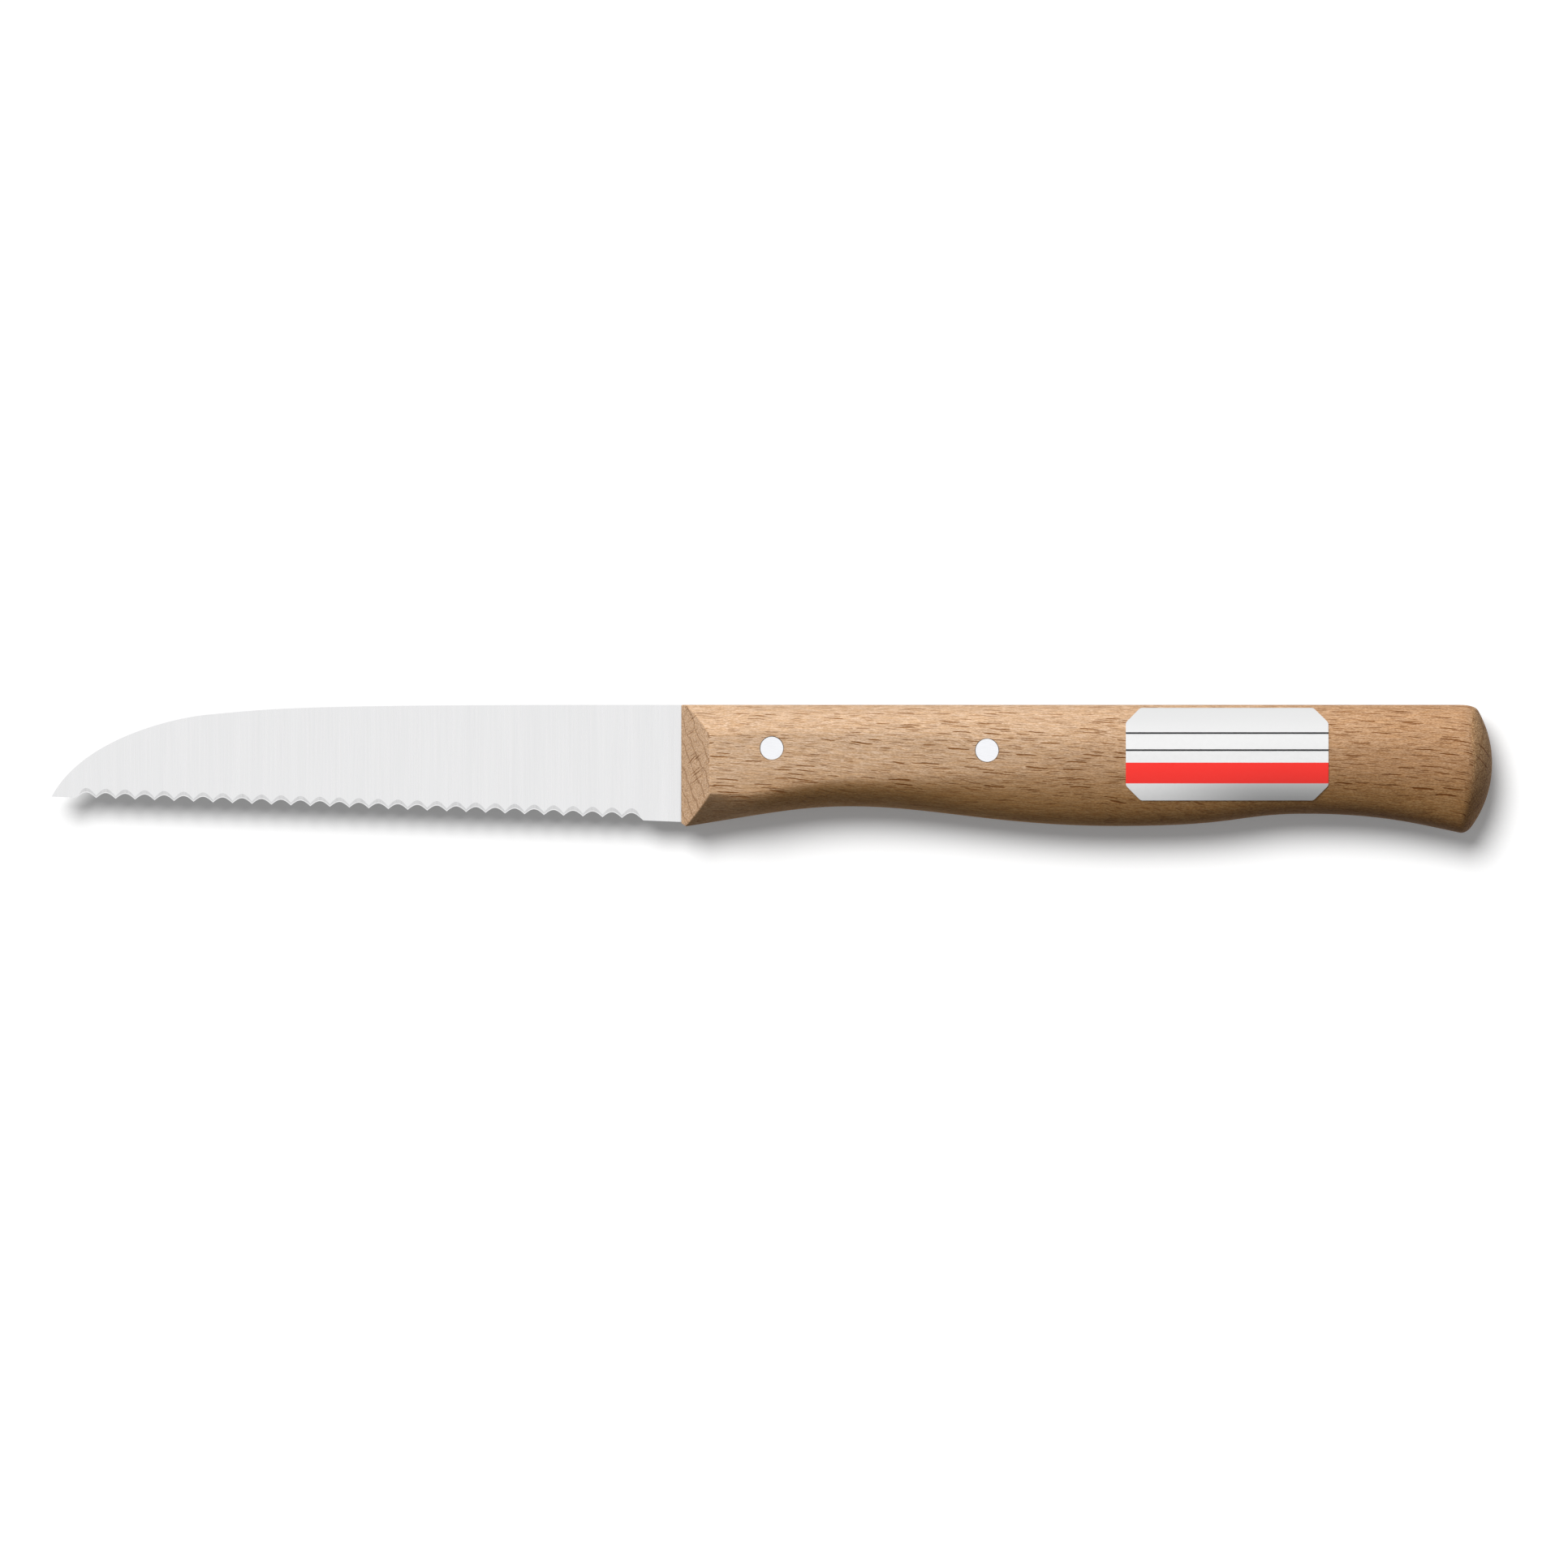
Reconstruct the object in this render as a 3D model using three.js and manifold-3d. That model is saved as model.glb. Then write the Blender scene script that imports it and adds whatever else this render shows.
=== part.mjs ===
// Serrated vegetable knife: a thin ground blade whose half tang is riveted into a one-piece wooden handle.
// Millimetres, +Z up. The knife lies on its side: X runs from the point of the blade to the butt of the
// handle, Y from the cutting edge to the spine, and Z through the thickness.
// Every piece is drawn about the place where the blade leaves the handle, with the spine on y = 0 and the
// middle of the blade on z = 0. The last lines set the assembly down on the side of its handle.

import * as THREE from 'three';
import { mergeVertices } from 'three/addons/utils/BufferGeometryUtils.js';
import Module from 'manifold-3d';

const wasm = await Module();
wasm.setup();

// Blade outline
const BLADE_LENGTH = 85;
const HEEL_HEIGHT = 15.8;
const POINT_DROP = 12.4; // from the line of the spine down to the point
const SPINE_STRAIGHT = 10; // measured from the handle
const SHOULDER_FROM_POINT = 20.9; // where the spine turns down to the point
const SHOULDER_DROP = 1.33;
const SHOULDER_SLOPE = 0.09;
const POINT_LEAD = 4.4; // the first stretch of the nose, along and up from the point
const POINT_LIFT = 8.3;
const SHOULDER_LEAD = 3.3; // how far the curve follows the slope on each side of the shoulder
const SHOULDER_TRAIL = 8.7;
const SPINE_LEAD = 44; // how far the curve follows the straight spine

// Blade section: a flat wedge from the spine to the edge
const SPINE_THICKNESS = 1.2;
const EDGE_THICKNESS = 0.06;
const GRIND_RUN_OUT = 1; // the wedge ends this far inside the handle

// Scallops, ground into the upper face only
const SCALLOP_PITCH = 2.63;
const SCALLOP_DEPTH = 0.66; // from the points of the teeth to the top of the scallop
const TOOTH_SETBACK = 0.2; // points of the teeth above the plain edge
const TIP_LAND = 3.2; // plain edge left at the point
const HEEL_LAND = 4.8; // least plain edge left at the heel
const GRIND_ANGLE = THREE.MathUtils.degToRad(10); // between the wheel's path and the blade

// Handle outline, seen from the side
const HANDLE_LENGTH = 109.4;
const HANDLE_THICKNESS = 12.5;
const FRONT_DEPTH = 16.5;
const FRONT_SLOPE = 0.16; // how fast the front of the grip rises towards the finger waist
const FINGER_WAIST_X = 23;
const FINGER_WAIST_DEPTH = 13.7;
const PALM_SWELL_X = 58.7;
const PALM_SWELL_DEPTH = 16.35;
const REAR_WAIST_FROM_BUTT = 25.1;
const REAR_WAIST_DEPTH = 14.7;
const BUTT_DEPTH = 17.45;
const BUTT_SLOPE = 0.2;

// How far each curve of the grip follows its end tangents, as a share of its span
const FRONT_REACH = 0.54;
const FINGER_WAIST_REACH = 0.3;
const PALM_REACH_FRONT = 0.45;
const PALM_REACH_REAR = 0.66;
const REAR_WAIST_REACH_FRONT = 0.37;
const REAR_WAIST_REACH_REAR = 0.5;
const BUTT_REACH = 0.25;

// Handle section and ends
const TOP_FLAT = 2.8; // width of the narrow flat along the top
const BOTTOM_FLAT = 2.8;
const UPPER_ROUND_FRONT = 4.1; // height of the rounding over the flat side, at the blade
const FLAT_DEPTH_FRONT = 12; // how far below the top the flat side ends, at the blade
const FLAT_DEPTH_WAIST = 9.7; // and at the finger waist
const FLAT_LEVEL_LENGTH = 6; // its lower edge runs level for this far behind the blade
const UPPER_SHARE_REAR = 0.42; // share of the depth that each rounding takes from the palm swell on
const LOWER_SHARE_REAR = 0.5;
const ROUNDNESS_FRONT = 1.15; // 1 is a flat chamfer and 2 an ellipse
const ROUNDNESS_GRIP = 1.7;
const ROUNDNESS_REAR = 2;
const BEVEL_SETBACK = 3.8; // the front slopes back by this much from the blade to the flat side
const NIP_LENGTH = 0.8; // small chamfer under the front corner
const NIP_HEIGHT = 0.55;
const DOME_RADIUS = 14.5; // rounded butt, seen from the side
const DOME_HALF_WIDTH = 10.4; // how far the same round would reach through the thickness
const DOME_CENTRE_DROP = 7.9; // apex of the butt below the top of the handle
const CRISP_LENGTH = 10; // the crisp edges of the sloping front are worn round by here
const RIM_ROUND = 0.85; // rounding between the sides and the butt

// Tang in its saw cut, and the rivets
const TANG_LENGTH = 52;
const TANG_RECESS = 0.1; // tang below the top and bottom of the handle
const SAW_RADIUS = 60; // the saw that cuts the slot leaves a round end
const SLOT_CLEARANCE = 0.05;
const SLOT_END_GAP = 0.3;
const RIVET_DIAMETER = 3.2;
const RIVET_CLEARANCE = 0.05;
const RIVET_EDGE_BREAK = 0.15;
const FRONT_RIVET_X = 12.2;
const FRONT_RIVET_DROP = 5.85;
const REAR_RIVET_FROM_END = 10.8; // measured from the end of the tang
const REAR_RIVET_DROP = 6.15;

// Paper label, wrapped over the upper side
const LABEL_LENGTH = 27.3;
const LABEL_HEIGHT = 12.5; // as seen square on
const LABEL_CORNER = 2;
const LABEL_FROM_BUTT = 22.2;
const LABEL_DROP = 0.4; // below the top of the handle
const LABEL_THICKNESS = 0.12;
const LABEL_GAP = 0.05;

// Fineness of the facets
const STATION_STEP = 3; // between the rings of the handle
const ROUND_STEPS = 7; // in each rounding of the handle's section
const DOME_STEPS = 6;
const DOME_APEX = 0.02; // share of the butt left as a tiny flat at the apex
const RIM_STEPS = 3;
const CURVE_STEPS = 14; // in each curve of the blade's outline
const SCALLOP_STEPS = 8;
const RIVET_SIDES = 28;
const SAW_STEPS = 10;
const HALVINGS = 40; // when the depth of the grip is looked up
const MERGE_DISTANCE = 1e-5; // points closer than this are one

// Cutters reach this far past what they cut
const OVERSHOOT = 5;

const halfThickness = HANDLE_THICKNESS / 2;
const slotHalfWidth = SPINE_THICKNESS / 2 + SLOT_CLEARANCE;
const domeCentreX = HANDLE_LENGTH - DOME_RADIUS;
const buttBase = domeCentreX + Math.sqrt(DOME_RADIUS ** 2 - (BUTT_DEPTH - DOME_CENTRE_DROP) ** 2);
const rearWaistX = HANDLE_LENGTH - REAR_WAIST_FROM_BUTT;
const deepest = Math.max(FRONT_DEPTH, PALM_SWELL_DEPTH, BUTT_DEPTH);

const steel = new THREE.MeshStandardMaterial({ color: 0xe6e7e8, roughness: 0.32, metalness: 1 });
const beech = new THREE.MeshStandardMaterial({ color: 0xc4a07c, roughness: 0.6, metalness: 0 });
const aluminium = new THREE.MeshStandardMaterial({ color: 0xf4f5f7, roughness: 0.3, metalness: 1 });
const paper = new THREE.MeshStandardMaterial({ color: 0xf2f1ee, roughness: 0.55, metalness: 0 });

// Solids

function solidFrom(geometry) {
  const bare = geometry.clone();
  bare.deleteAttribute('normal');
  bare.deleteAttribute('uv');
  const merged = mergeVertices(bare, MERGE_DISTANCE);
  return new wasm.Manifold(new wasm.Mesh({
    numProp: 3,
    vertProperties: new Float32Array(merged.attributes.position.array),
    triVerts: new Uint32Array(merged.index.array),
  }));
}

function geometryFrom(solid) {
  const mesh = solid.getMesh();
  const geometry = new THREE.BufferGeometry();
  geometry.setAttribute('position', new THREE.BufferAttribute(mesh.vertProperties, 3));
  geometry.setIndex(new THREE.BufferAttribute(mesh.triVerts, 1));
  geometry.computeVertexNormals();
  return geometry;
}

// A flat outline given a thickness, centred on z = 0.
function plate(outline, thickness, curveSegments = CURVE_STEPS) {
  const geometry = new THREE.ExtrudeGeometry(outline, {
    depth: thickness,
    bevelEnabled: false,
    curveSegments,
  });
  return geometry.translate(0, 0, -thickness / 2);
}

function polygon(corners) {
  return new THREE.Shape(corners.map(([x, y]) => new THREE.Vector2(x, y)));
}

// Rings of points joined into one closed skin, with a flat cap on the first and the last ring.
function loft(rings) {
  const sides = rings[0].length;
  const points = rings.flat();
  const faces = [];
  for (let r = 0; r + 1 < rings.length; r++) {
    for (let s = 0; s < sides; s++) {
      const next = (s + 1) % sides;
      const a = r * sides + s;
      const b = r * sides + next;
      faces.push(a, b, a + sides, b, b + sides, a + sides);
    }
  }
  const last = (rings.length - 1) * sides;
  for (let s = 1; s + 1 < sides; s++) {
    faces.push(0, s + 1, s);
    faces.push(last, last + s, last + s + 1);
  }
  const geometry = new THREE.BufferGeometry().setFromPoints(points);
  geometry.setIndex(faces);
  return geometry;
}

// Handle form

// The underside of the handle from the blade to the butt, with level tangents at each waist and swell.
function gripSegment(from, to, fromReach, toReach) {
  const lead = (to.x - from.x) * fromReach;
  const trail = (to.x - from.x) * toReach;
  return new THREE.CubicBezierCurve(
    new THREE.Vector2(from.x, from.depth),
    new THREE.Vector2(from.x + lead, from.depth + from.slope * lead),
    new THREE.Vector2(to.x - trail, to.depth - to.slope * trail),
    new THREE.Vector2(to.x, to.depth),
  );
}

const gripFront = { x: 0, depth: FRONT_DEPTH, slope: -FRONT_SLOPE };
const fingerWaist = { x: FINGER_WAIST_X, depth: FINGER_WAIST_DEPTH, slope: 0 };
const palmSwell = { x: PALM_SWELL_X, depth: PALM_SWELL_DEPTH, slope: 0 };
const rearWaist = { x: rearWaistX, depth: REAR_WAIST_DEPTH, slope: 0 };
const gripButt = { x: buttBase, depth: BUTT_DEPTH, slope: BUTT_SLOPE };
const gripLine = [
  gripSegment(gripFront, fingerWaist, FRONT_REACH, FINGER_WAIST_REACH),
  gripSegment(fingerWaist, palmSwell, FINGER_WAIST_REACH, PALM_REACH_FRONT),
  gripSegment(palmSwell, rearWaist, PALM_REACH_REAR, REAR_WAIST_REACH_FRONT),
  gripSegment(rearWaist, gripButt, REAR_WAIST_REACH_REAR, BUTT_REACH),
];

// Depth of the handle at x, found by halving the curve that spans it.
function depthAt(x) {
  const curve = gripLine.find((segment) => x <= segment.v3.x) ?? gripLine[gripLine.length - 1];
  let low = 0;
  let high = 1;
  for (let i = 0; i < HALVINGS; i++) {
    const middle = (low + high) / 2;
    if (curve.getPoint(middle).x < x) low = middle;
    else high = middle;
  }
  return curve.getPoint(low).y;
}

// A size that goes softly from one value to another between two places along the handle.
function blend(x, start, end, front, rear) {
  return THREE.MathUtils.lerp(front, rear, THREE.MathUtils.smoothstep(x, start, end));
}

// From the palm swell on the section is nearly oval.
function blendToPalm(x, front, rear) {
  return blend(x, FINGER_WAIST_X, PALM_SWELL_X, front, rear);
}

// One side of the section at x, from the top flat round to the bottom flat, as [y, z] pairs.
// Each rounding is a quarter of a superellipse. proud moves the whole outline outwards.
function sideOutline(x, proud) {
  const depth = depthAt(x);
  const grip = blend(x, BEVEL_SETBACK, CRISP_LENGTH, ROUNDNESS_FRONT, ROUNDNESS_GRIP);
  const power = 2 / blend(x, CRISP_LENGTH, PALM_SWELL_X, grip, ROUNDNESS_REAR);
  const upperRound = blendToPalm(x, UPPER_ROUND_FRONT, UPPER_SHARE_REAR * depth);
  const flatFront = blend(x, FLAT_LEVEL_LENGTH, FINGER_WAIST_X, FLAT_DEPTH_FRONT, FLAT_DEPTH_WAIST);
  const flatBottom = -blendToPalm(x, flatFront, (1 - LOWER_SHARE_REAR) * depth);
  const lowerRound = depth + flatBottom;
  const outline = [];
  for (let i = 0; i <= ROUND_STEPS; i++) {
    const angle = (Math.PI / 2) * (i / ROUND_STEPS);
    const up = Math.cos(angle) ** power;
    const out = Math.sin(angle) ** power;
    outline.push([
      (upperRound + proud) * up - upperRound,
      TOP_FLAT / 2 + (halfThickness - TOP_FLAT / 2 + proud) * out,
    ]);
  }
  for (let i = 0; i <= ROUND_STEPS; i++) {
    const angle = (Math.PI / 2) * (i / ROUND_STEPS);
    const down = Math.sin(angle) ** power;
    const out = Math.cos(angle) ** power;
    outline.push([
      flatBottom - (lowerRound + proud) * down,
      BOTTOM_FLAT / 2 + (halfThickness - BOTTOM_FLAT / 2 + proud) * out,
    ]);
  }
  return outline;
}

// The whole section at x as a ring.
function handleRing(x, proud = 0) {
  const near = sideOutline(x, proud);
  const far = near.map(([y, z]) => [y, -z]).reverse();
  return [...near, ...far].map(([y, z]) => new THREE.Vector3(x, y, z));
}

function stations(from, to) {
  const count = Math.max(1, Math.round((to - from) / STATION_STEP));
  return Array.from({ length: count + 1 }, (_, i) => THREE.MathUtils.lerp(from, to, i / count));
}

// The butt section drawn in towards the apex by a share, with every point moved onto the domed end.
function domeRing(share) {
  return handleRing(buttBase).map((point) => {
    const y = (point.y + DOME_CENTRE_DROP) * share;
    const z = point.z * share;
    const across = (z * DOME_RADIUS) / DOME_HALF_WIDTH;
    const x = domeCentreX + Math.sqrt(DOME_RADIUS ** 2 - y ** 2 - across ** 2);
    return new THREE.Vector3(x, y - DOME_CENTRE_DROP, z);
  });
}

function handleRings() {
  const rimStart = buttBase - RIM_ROUND;
  const rings = stations(0, rimStart).map((x) => handleRing(x));
  // The rim turns from the sides into the dome along a quadratic curve.
  const side = handleRing(rimStart);
  const corner = domeRing(1);
  const domeStart = 1 - (2 * RIM_ROUND) / BUTT_DEPTH;
  const end = domeRing(domeStart);
  for (let i = 1; i < RIM_STEPS; i++) {
    rings.push(side.map((point, s) => {
      const turn = new THREE.QuadraticBezierCurve3(point, corner[s], end[s]);
      return turn.getPoint(i / RIM_STEPS);
    }));
  }
  for (let i = 0; i <= DOME_STEPS; i++) {
    rings.push(domeRing(THREE.MathUtils.lerp(domeStart, DOME_APEX, i / DOME_STEPS)));
  }
  return rings;
}

// Cutters for the handle

// The wood in front of one sloping face: from the edge of the slot back to the flat side.
function bevelCutter(side) {
  const slope = BEVEL_SETBACK / (halfThickness - slotHalfWidth);
  const reach = halfThickness + OVERSHOOT;
  const wedge = polygon([
    [0, side * slotHalfWidth],
    [slope * (reach - slotHalfWidth), side * reach],
    [-OVERSHOOT, side * reach],
    [-OVERSHOOT, side * slotHalfWidth],
  ]);
  return plate(wedge, 2 * (deepest + OVERSHOOT)).rotateX(Math.PI / 2);
}

function nipCutter() {
  const slope = NIP_HEIGHT / NIP_LENGTH;
  const corner = polygon([
    [-OVERSHOOT, NIP_HEIGHT - FRONT_DEPTH + OVERSHOOT * slope],
    [NIP_LENGTH + OVERSHOOT, -FRONT_DEPTH - OVERSHOOT * slope],
    [-OVERSHOOT, -FRONT_DEPTH - OVERSHOOT * slope],
  ]);
  return plate(corner, 2 * HANDLE_THICKNESS);
}

// The saw cut seen from the side: open at the front, top and bottom, with a round end.
function sawCutShape(length) {
  const middle = -deepest / 2;
  const reach = deepest / 2 + OVERSHOOT;
  const centre = length - SAW_RADIUS;
  const sweep = Math.asin(reach / SAW_RADIUS);
  const shape = new THREE.Shape();
  shape.moveTo(-OVERSHOOT, middle - reach);
  shape.lineTo(centre + SAW_RADIUS * Math.cos(sweep), middle - reach);
  shape.absarc(centre, middle, SAW_RADIUS, -sweep, sweep, false);
  shape.lineTo(-OVERSHOOT, middle + reach);
  return shape;
}

const rivetPlaces = {
  front_rivet: [FRONT_RIVET_X, -FRONT_RIVET_DROP],
  rear_rivet: [TANG_LENGTH - REAR_RIVET_FROM_END, -REAR_RIVET_DROP],
};

function rivetHoles() {
  const radius = RIVET_DIAMETER / 2 + RIVET_CLEARANCE;
  return Object.values(rivetPlaces).map(([x, y]) => solidFrom(
    new THREE.CylinderGeometry(radius, radius, HANDLE_THICKNESS + OVERSHOOT, RIVET_SIDES)
      .rotateX(Math.PI / 2)
      .translate(x, y, 0),
  ));
}

function drilled(solid) {
  return rivetHoles().reduce((rest, hole) => rest.subtract(hole), solid);
}

// Pieces

function makeHandle() {
  const slot = plate(sawCutShape(TANG_LENGTH + SLOT_END_GAP), 2 * slotHalfWidth, SAW_STEPS);
  const body = solidFrom(loft(handleRings()))
    .subtract(solidFrom(bevelCutter(1)))
    .subtract(solidFrom(bevelCutter(-1)))
    .subtract(solidFrom(nipCutter()))
    .subtract(solidFrom(slot));
  return geometryFrom(drilled(body));
}

// The edge line runs straight from the point to the heel. Blade sections are worked out along it.
const edgeAngle = Math.atan2(POINT_DROP - HEEL_HEIGHT, BLADE_LENGTH);
const edgeLength = Math.hypot(BLADE_LENGTH, HEEL_HEIGHT - POINT_DROP);
const wedgeSlope = (SPINE_THICKNESS - EDGE_THICKNESS) / 2 / (HEEL_HEIGHT * Math.cos(edgeAngle));

// Moves a shape drawn along the edge line, from the point, into its place on the blade.
function alongEdge(geometry) {
  return geometry.rotateZ(edgeAngle).translate(-BLADE_LENGTH, -POINT_DROP, 0);
}

function bladeOutline() {
  const shoulderX = SHOULDER_FROM_POINT - BLADE_LENGTH;
  const runOutDrop = HEEL_HEIGHT - Math.tan(edgeAngle) * GRIND_RUN_OUT;
  const shape = new THREE.Shape();
  shape.moveTo(GRIND_RUN_OUT, -TANG_RECESS);
  shape.lineTo(0, -TANG_RECESS);
  shape.lineTo(0, 0);
  shape.lineTo(-SPINE_STRAIGHT, 0);
  shape.bezierCurveTo(
    -SPINE_STRAIGHT - SPINE_LEAD, 0,
    shoulderX + SHOULDER_TRAIL, -SHOULDER_DROP + SHOULDER_SLOPE * SHOULDER_TRAIL,
    shoulderX, -SHOULDER_DROP,
  );
  shape.bezierCurveTo(
    shoulderX - SHOULDER_LEAD, -SHOULDER_DROP - SHOULDER_SLOPE * SHOULDER_LEAD,
    -BLADE_LENGTH + POINT_LEAD, -POINT_DROP + POINT_LIFT,
    -BLADE_LENGTH, -POINT_DROP,
  );
  shape.lineTo(GRIND_RUN_OUT, -runOutDrop);
  return shape;
}

// Both faces of the blade are flat and lean together towards the edge.
function wedgeGrind() {
  const height = HEEL_HEIGHT + OVERSHOOT;
  const edge = EDGE_THICKNESS / 2;
  const back = edge + wedgeSlope * height;
  const section = polygon([[0, -edge], [height, -back], [height, back], [0, edge]]);
  const length = edgeLength + 2 * OVERSHOOT;
  const wedge = new THREE.ExtrudeGeometry(section, { depth: length, bevelEnabled: false });
  wedge.rotateY(Math.PI / 2).rotateX(Math.PI / 2).translate(-OVERSHOOT, 0, 0);
  return alongEdge(wedge);
}

// The grinding wheel's ribs as seen on the lower face: a row of arcs over the plain edge.
function scallopCutter() {
  const rise = 1 / Math.tan(GRIND_ANGLE);
  const spread = 1 + wedgeSlope * rise; // the leaning lower face shortens what the wheel cuts there
  const depth = SCALLOP_DEPTH * spread;
  const setback = TOOTH_SETBACK * spread;
  const half = SCALLOP_PITCH / 2;
  const radius = (half ** 2 + depth ** 2) / (2 * depth);
  const centreHeight = setback + depth - radius;
  const reach = Math.sqrt(radius ** 2 - centreHeight ** 2); // where an end arc meets the plain edge
  const sweep = Math.asin(half / radius);
  const endSweep = Math.asin(reach / radius);
  const count = Math.floor((edgeLength - TIP_LAND - HEEL_LAND - 2 * (reach - half)) / SCALLOP_PITCH);
  const first = TIP_LAND + reach;
  const last = first + (count - 1) * SCALLOP_PITCH;
  const arcs = new THREE.Shape();
  arcs.moveTo(first - reach, -OVERSHOOT);
  arcs.lineTo(first - reach, 0);
  for (let i = 0; i < count; i++) {
    const left = i === 0 ? endSweep : sweep;
    const right = i === count - 1 ? endSweep : sweep;
    const top = Math.PI / 2;
    arcs.absarc(first + i * SCALLOP_PITCH, centreHeight, radius, top + left, top - right, true);
  }
  arcs.lineTo(last + reach, -OVERSHOOT);
  const cutter = plate(arcs, 2 * SPINE_THICKNESS, SCALLOP_STEPS);
  // The wheel climbs from the lower face to the upper one at the grinding angle.
  const lowerFace = -EDGE_THICKNESS / 2;
  const slant = new THREE.Matrix4().makeShear(0, 0, 0, 0, 0, rise);
  cutter.applyMatrix4(slant).translate(0, -lowerFace * rise, 0);
  return alongEdge(cutter);
}

function tangOutline() {
  const bottom = stations(GRIND_RUN_OUT, TANG_LENGTH + STATION_STEP)
    .map((x) => [x, Math.max(TANG_RECESS - depthAt(x), -HEEL_HEIGHT)]);
  return polygon([
    [TANG_LENGTH + STATION_STEP, -TANG_RECESS],
    [GRIND_RUN_OUT, -TANG_RECESS],
    ...bottom,
  ]);
}

function makeBlade() {
  const ground = solidFrom(plate(bladeOutline(), 2 * SPINE_THICKNESS))
    .intersect(solidFrom(wedgeGrind()))
    .subtract(solidFrom(scallopCutter()));
  const tang = solidFrom(plate(tangOutline(), SPINE_THICKNESS))
    .intersect(solidFrom(plate(sawCutShape(TANG_LENGTH), 2 * SPINE_THICKNESS, SAW_STEPS)));
  return geometryFrom(drilled(ground.add(tang)));
}

// A plain pin, hammered tight and ground flush with both sides of the handle.
function makeRivet() {
  const radius = RIVET_DIAMETER / 2;
  const profile = [
    [0, -halfThickness],
    [radius - RIVET_EDGE_BREAK, -halfThickness],
    [radius, -halfThickness + RIVET_EDGE_BREAK],
    [radius, halfThickness - RIVET_EDGE_BREAK],
    [radius - RIVET_EDGE_BREAK, halfThickness],
    [0, halfThickness],
  ];
  const points = profile.map(([r, along]) => new THREE.Vector2(r, along));
  return new THREE.LatheGeometry(points, RIVET_SIDES).rotateX(Math.PI / 2);
}

// The label is a thin skin over the side of the handle, cut to a rectangle with clipped corners.
function makeLabel() {
  const end = HANDLE_LENGTH - LABEL_FROM_BUTT;
  const start = end - LABEL_LENGTH;
  const top = -LABEL_DROP;
  const bottom = top - LABEL_HEIGHT;
  const rings = (proud) => stations(start - STATION_STEP, end + STATION_STEP)
    .map((x) => handleRing(x, proud));
  const outline = polygon([
    [start + LABEL_CORNER, bottom],
    [end - LABEL_CORNER, bottom],
    [end, bottom + LABEL_CORNER],
    [end, top - LABEL_CORNER],
    [end - LABEL_CORNER, top],
    [start + LABEL_CORNER, top],
    [start, top - LABEL_CORNER],
    [start, bottom + LABEL_CORNER],
  ]);
  const punch = plate(outline, HANDLE_THICKNESS).translate(0, 0, halfThickness);
  const skin = solidFrom(loft(rings(LABEL_GAP + LABEL_THICKNESS)))
    .subtract(solidFrom(loft(rings(LABEL_GAP))));
  return geometryFrom(skin.intersect(solidFrom(punch)));
}

// Assembly

const knife = new THREE.Group();

function addPiece(name, geometry, material) {
  const piece = new THREE.Mesh(geometry, material);
  piece.name = name;
  knife.add(piece);
  return piece;
}

addPiece('blade', makeBlade(), steel);
addPiece('handle', makeHandle(), beech);
for (const [name, [x, y]] of Object.entries(rivetPlaces)) {
  addPiece(name, makeRivet(), aluminium).position.set(x, y, 0);
}
addPiece('label', makeLabel(), paper);

// The finished knife rests on the flat side of its handle, with its box centred over the origin.
const extents = new THREE.Box3().setFromObject(knife);
const middle = extents.getCenter(new THREE.Vector3());
knife.position.set(-middle.x, -middle.y, -extents.min.z);

const part = new THREE.Group();
part.add(knife);

export default part;
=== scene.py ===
"""Looks of a serrated vegetable knife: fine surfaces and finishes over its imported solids.

Sizes are in millimetres. Every piece is worked out about the place where the blade leaves the handle,
with the spine on y = 0 and the middle of the blade on z = 0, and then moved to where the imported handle
says that place is.
"""

import logging
import math
from dataclasses import astuple, dataclass, field
from enum import Enum, IntEnum

import bmesh
import bpy
import numpy as np
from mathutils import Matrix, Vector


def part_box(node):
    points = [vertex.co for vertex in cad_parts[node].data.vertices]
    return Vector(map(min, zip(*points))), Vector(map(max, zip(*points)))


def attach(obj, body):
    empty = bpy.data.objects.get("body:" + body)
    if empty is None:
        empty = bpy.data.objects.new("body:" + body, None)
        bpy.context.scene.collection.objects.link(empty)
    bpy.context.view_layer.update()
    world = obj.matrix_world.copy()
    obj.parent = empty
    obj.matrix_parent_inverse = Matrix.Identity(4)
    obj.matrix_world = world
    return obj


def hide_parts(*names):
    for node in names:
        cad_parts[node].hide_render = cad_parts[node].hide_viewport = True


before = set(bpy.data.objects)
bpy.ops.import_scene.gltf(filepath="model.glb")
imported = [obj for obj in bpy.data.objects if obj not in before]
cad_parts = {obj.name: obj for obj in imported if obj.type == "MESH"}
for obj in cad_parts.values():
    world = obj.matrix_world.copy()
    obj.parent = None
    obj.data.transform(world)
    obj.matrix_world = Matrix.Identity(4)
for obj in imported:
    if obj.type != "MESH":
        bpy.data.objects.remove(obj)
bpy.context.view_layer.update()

Array = np.ndarray
Object = bpy.types.Object
Material = bpy.types.Material
Socket = bpy.types.NodeSocket
Feed = Socket | float | tuple
Pair = tuple[float, float]
Triple = tuple[float, float, float]
Colour = Triple

MM = 0.001
BODY = "root"
WELD = 1e-4
SPINDLE_EXPONENT = 1.4
SPINDLE_EDGE = 0.07
MIX_INPUTS = (0, 6, 7)
MIX_RESULT = 2
WHITE: Colour = (1.0, 1.0, 1.0)
FORWARD: Triple = (-1.0, 0.0, 0.0)
REARWARD: Triple = (1.0, 0.0, 0.0)
DOWNWARD: Triple = (0.0, -1.0, 0.0)
log = logging.getLogger("knife")


class Lamp(Enum):
    """The two soft lights of the studio: a low one on the knife, and a steep one on the floor."""

    KEY = "key_light"
    STEEP = "steep_light"


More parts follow.
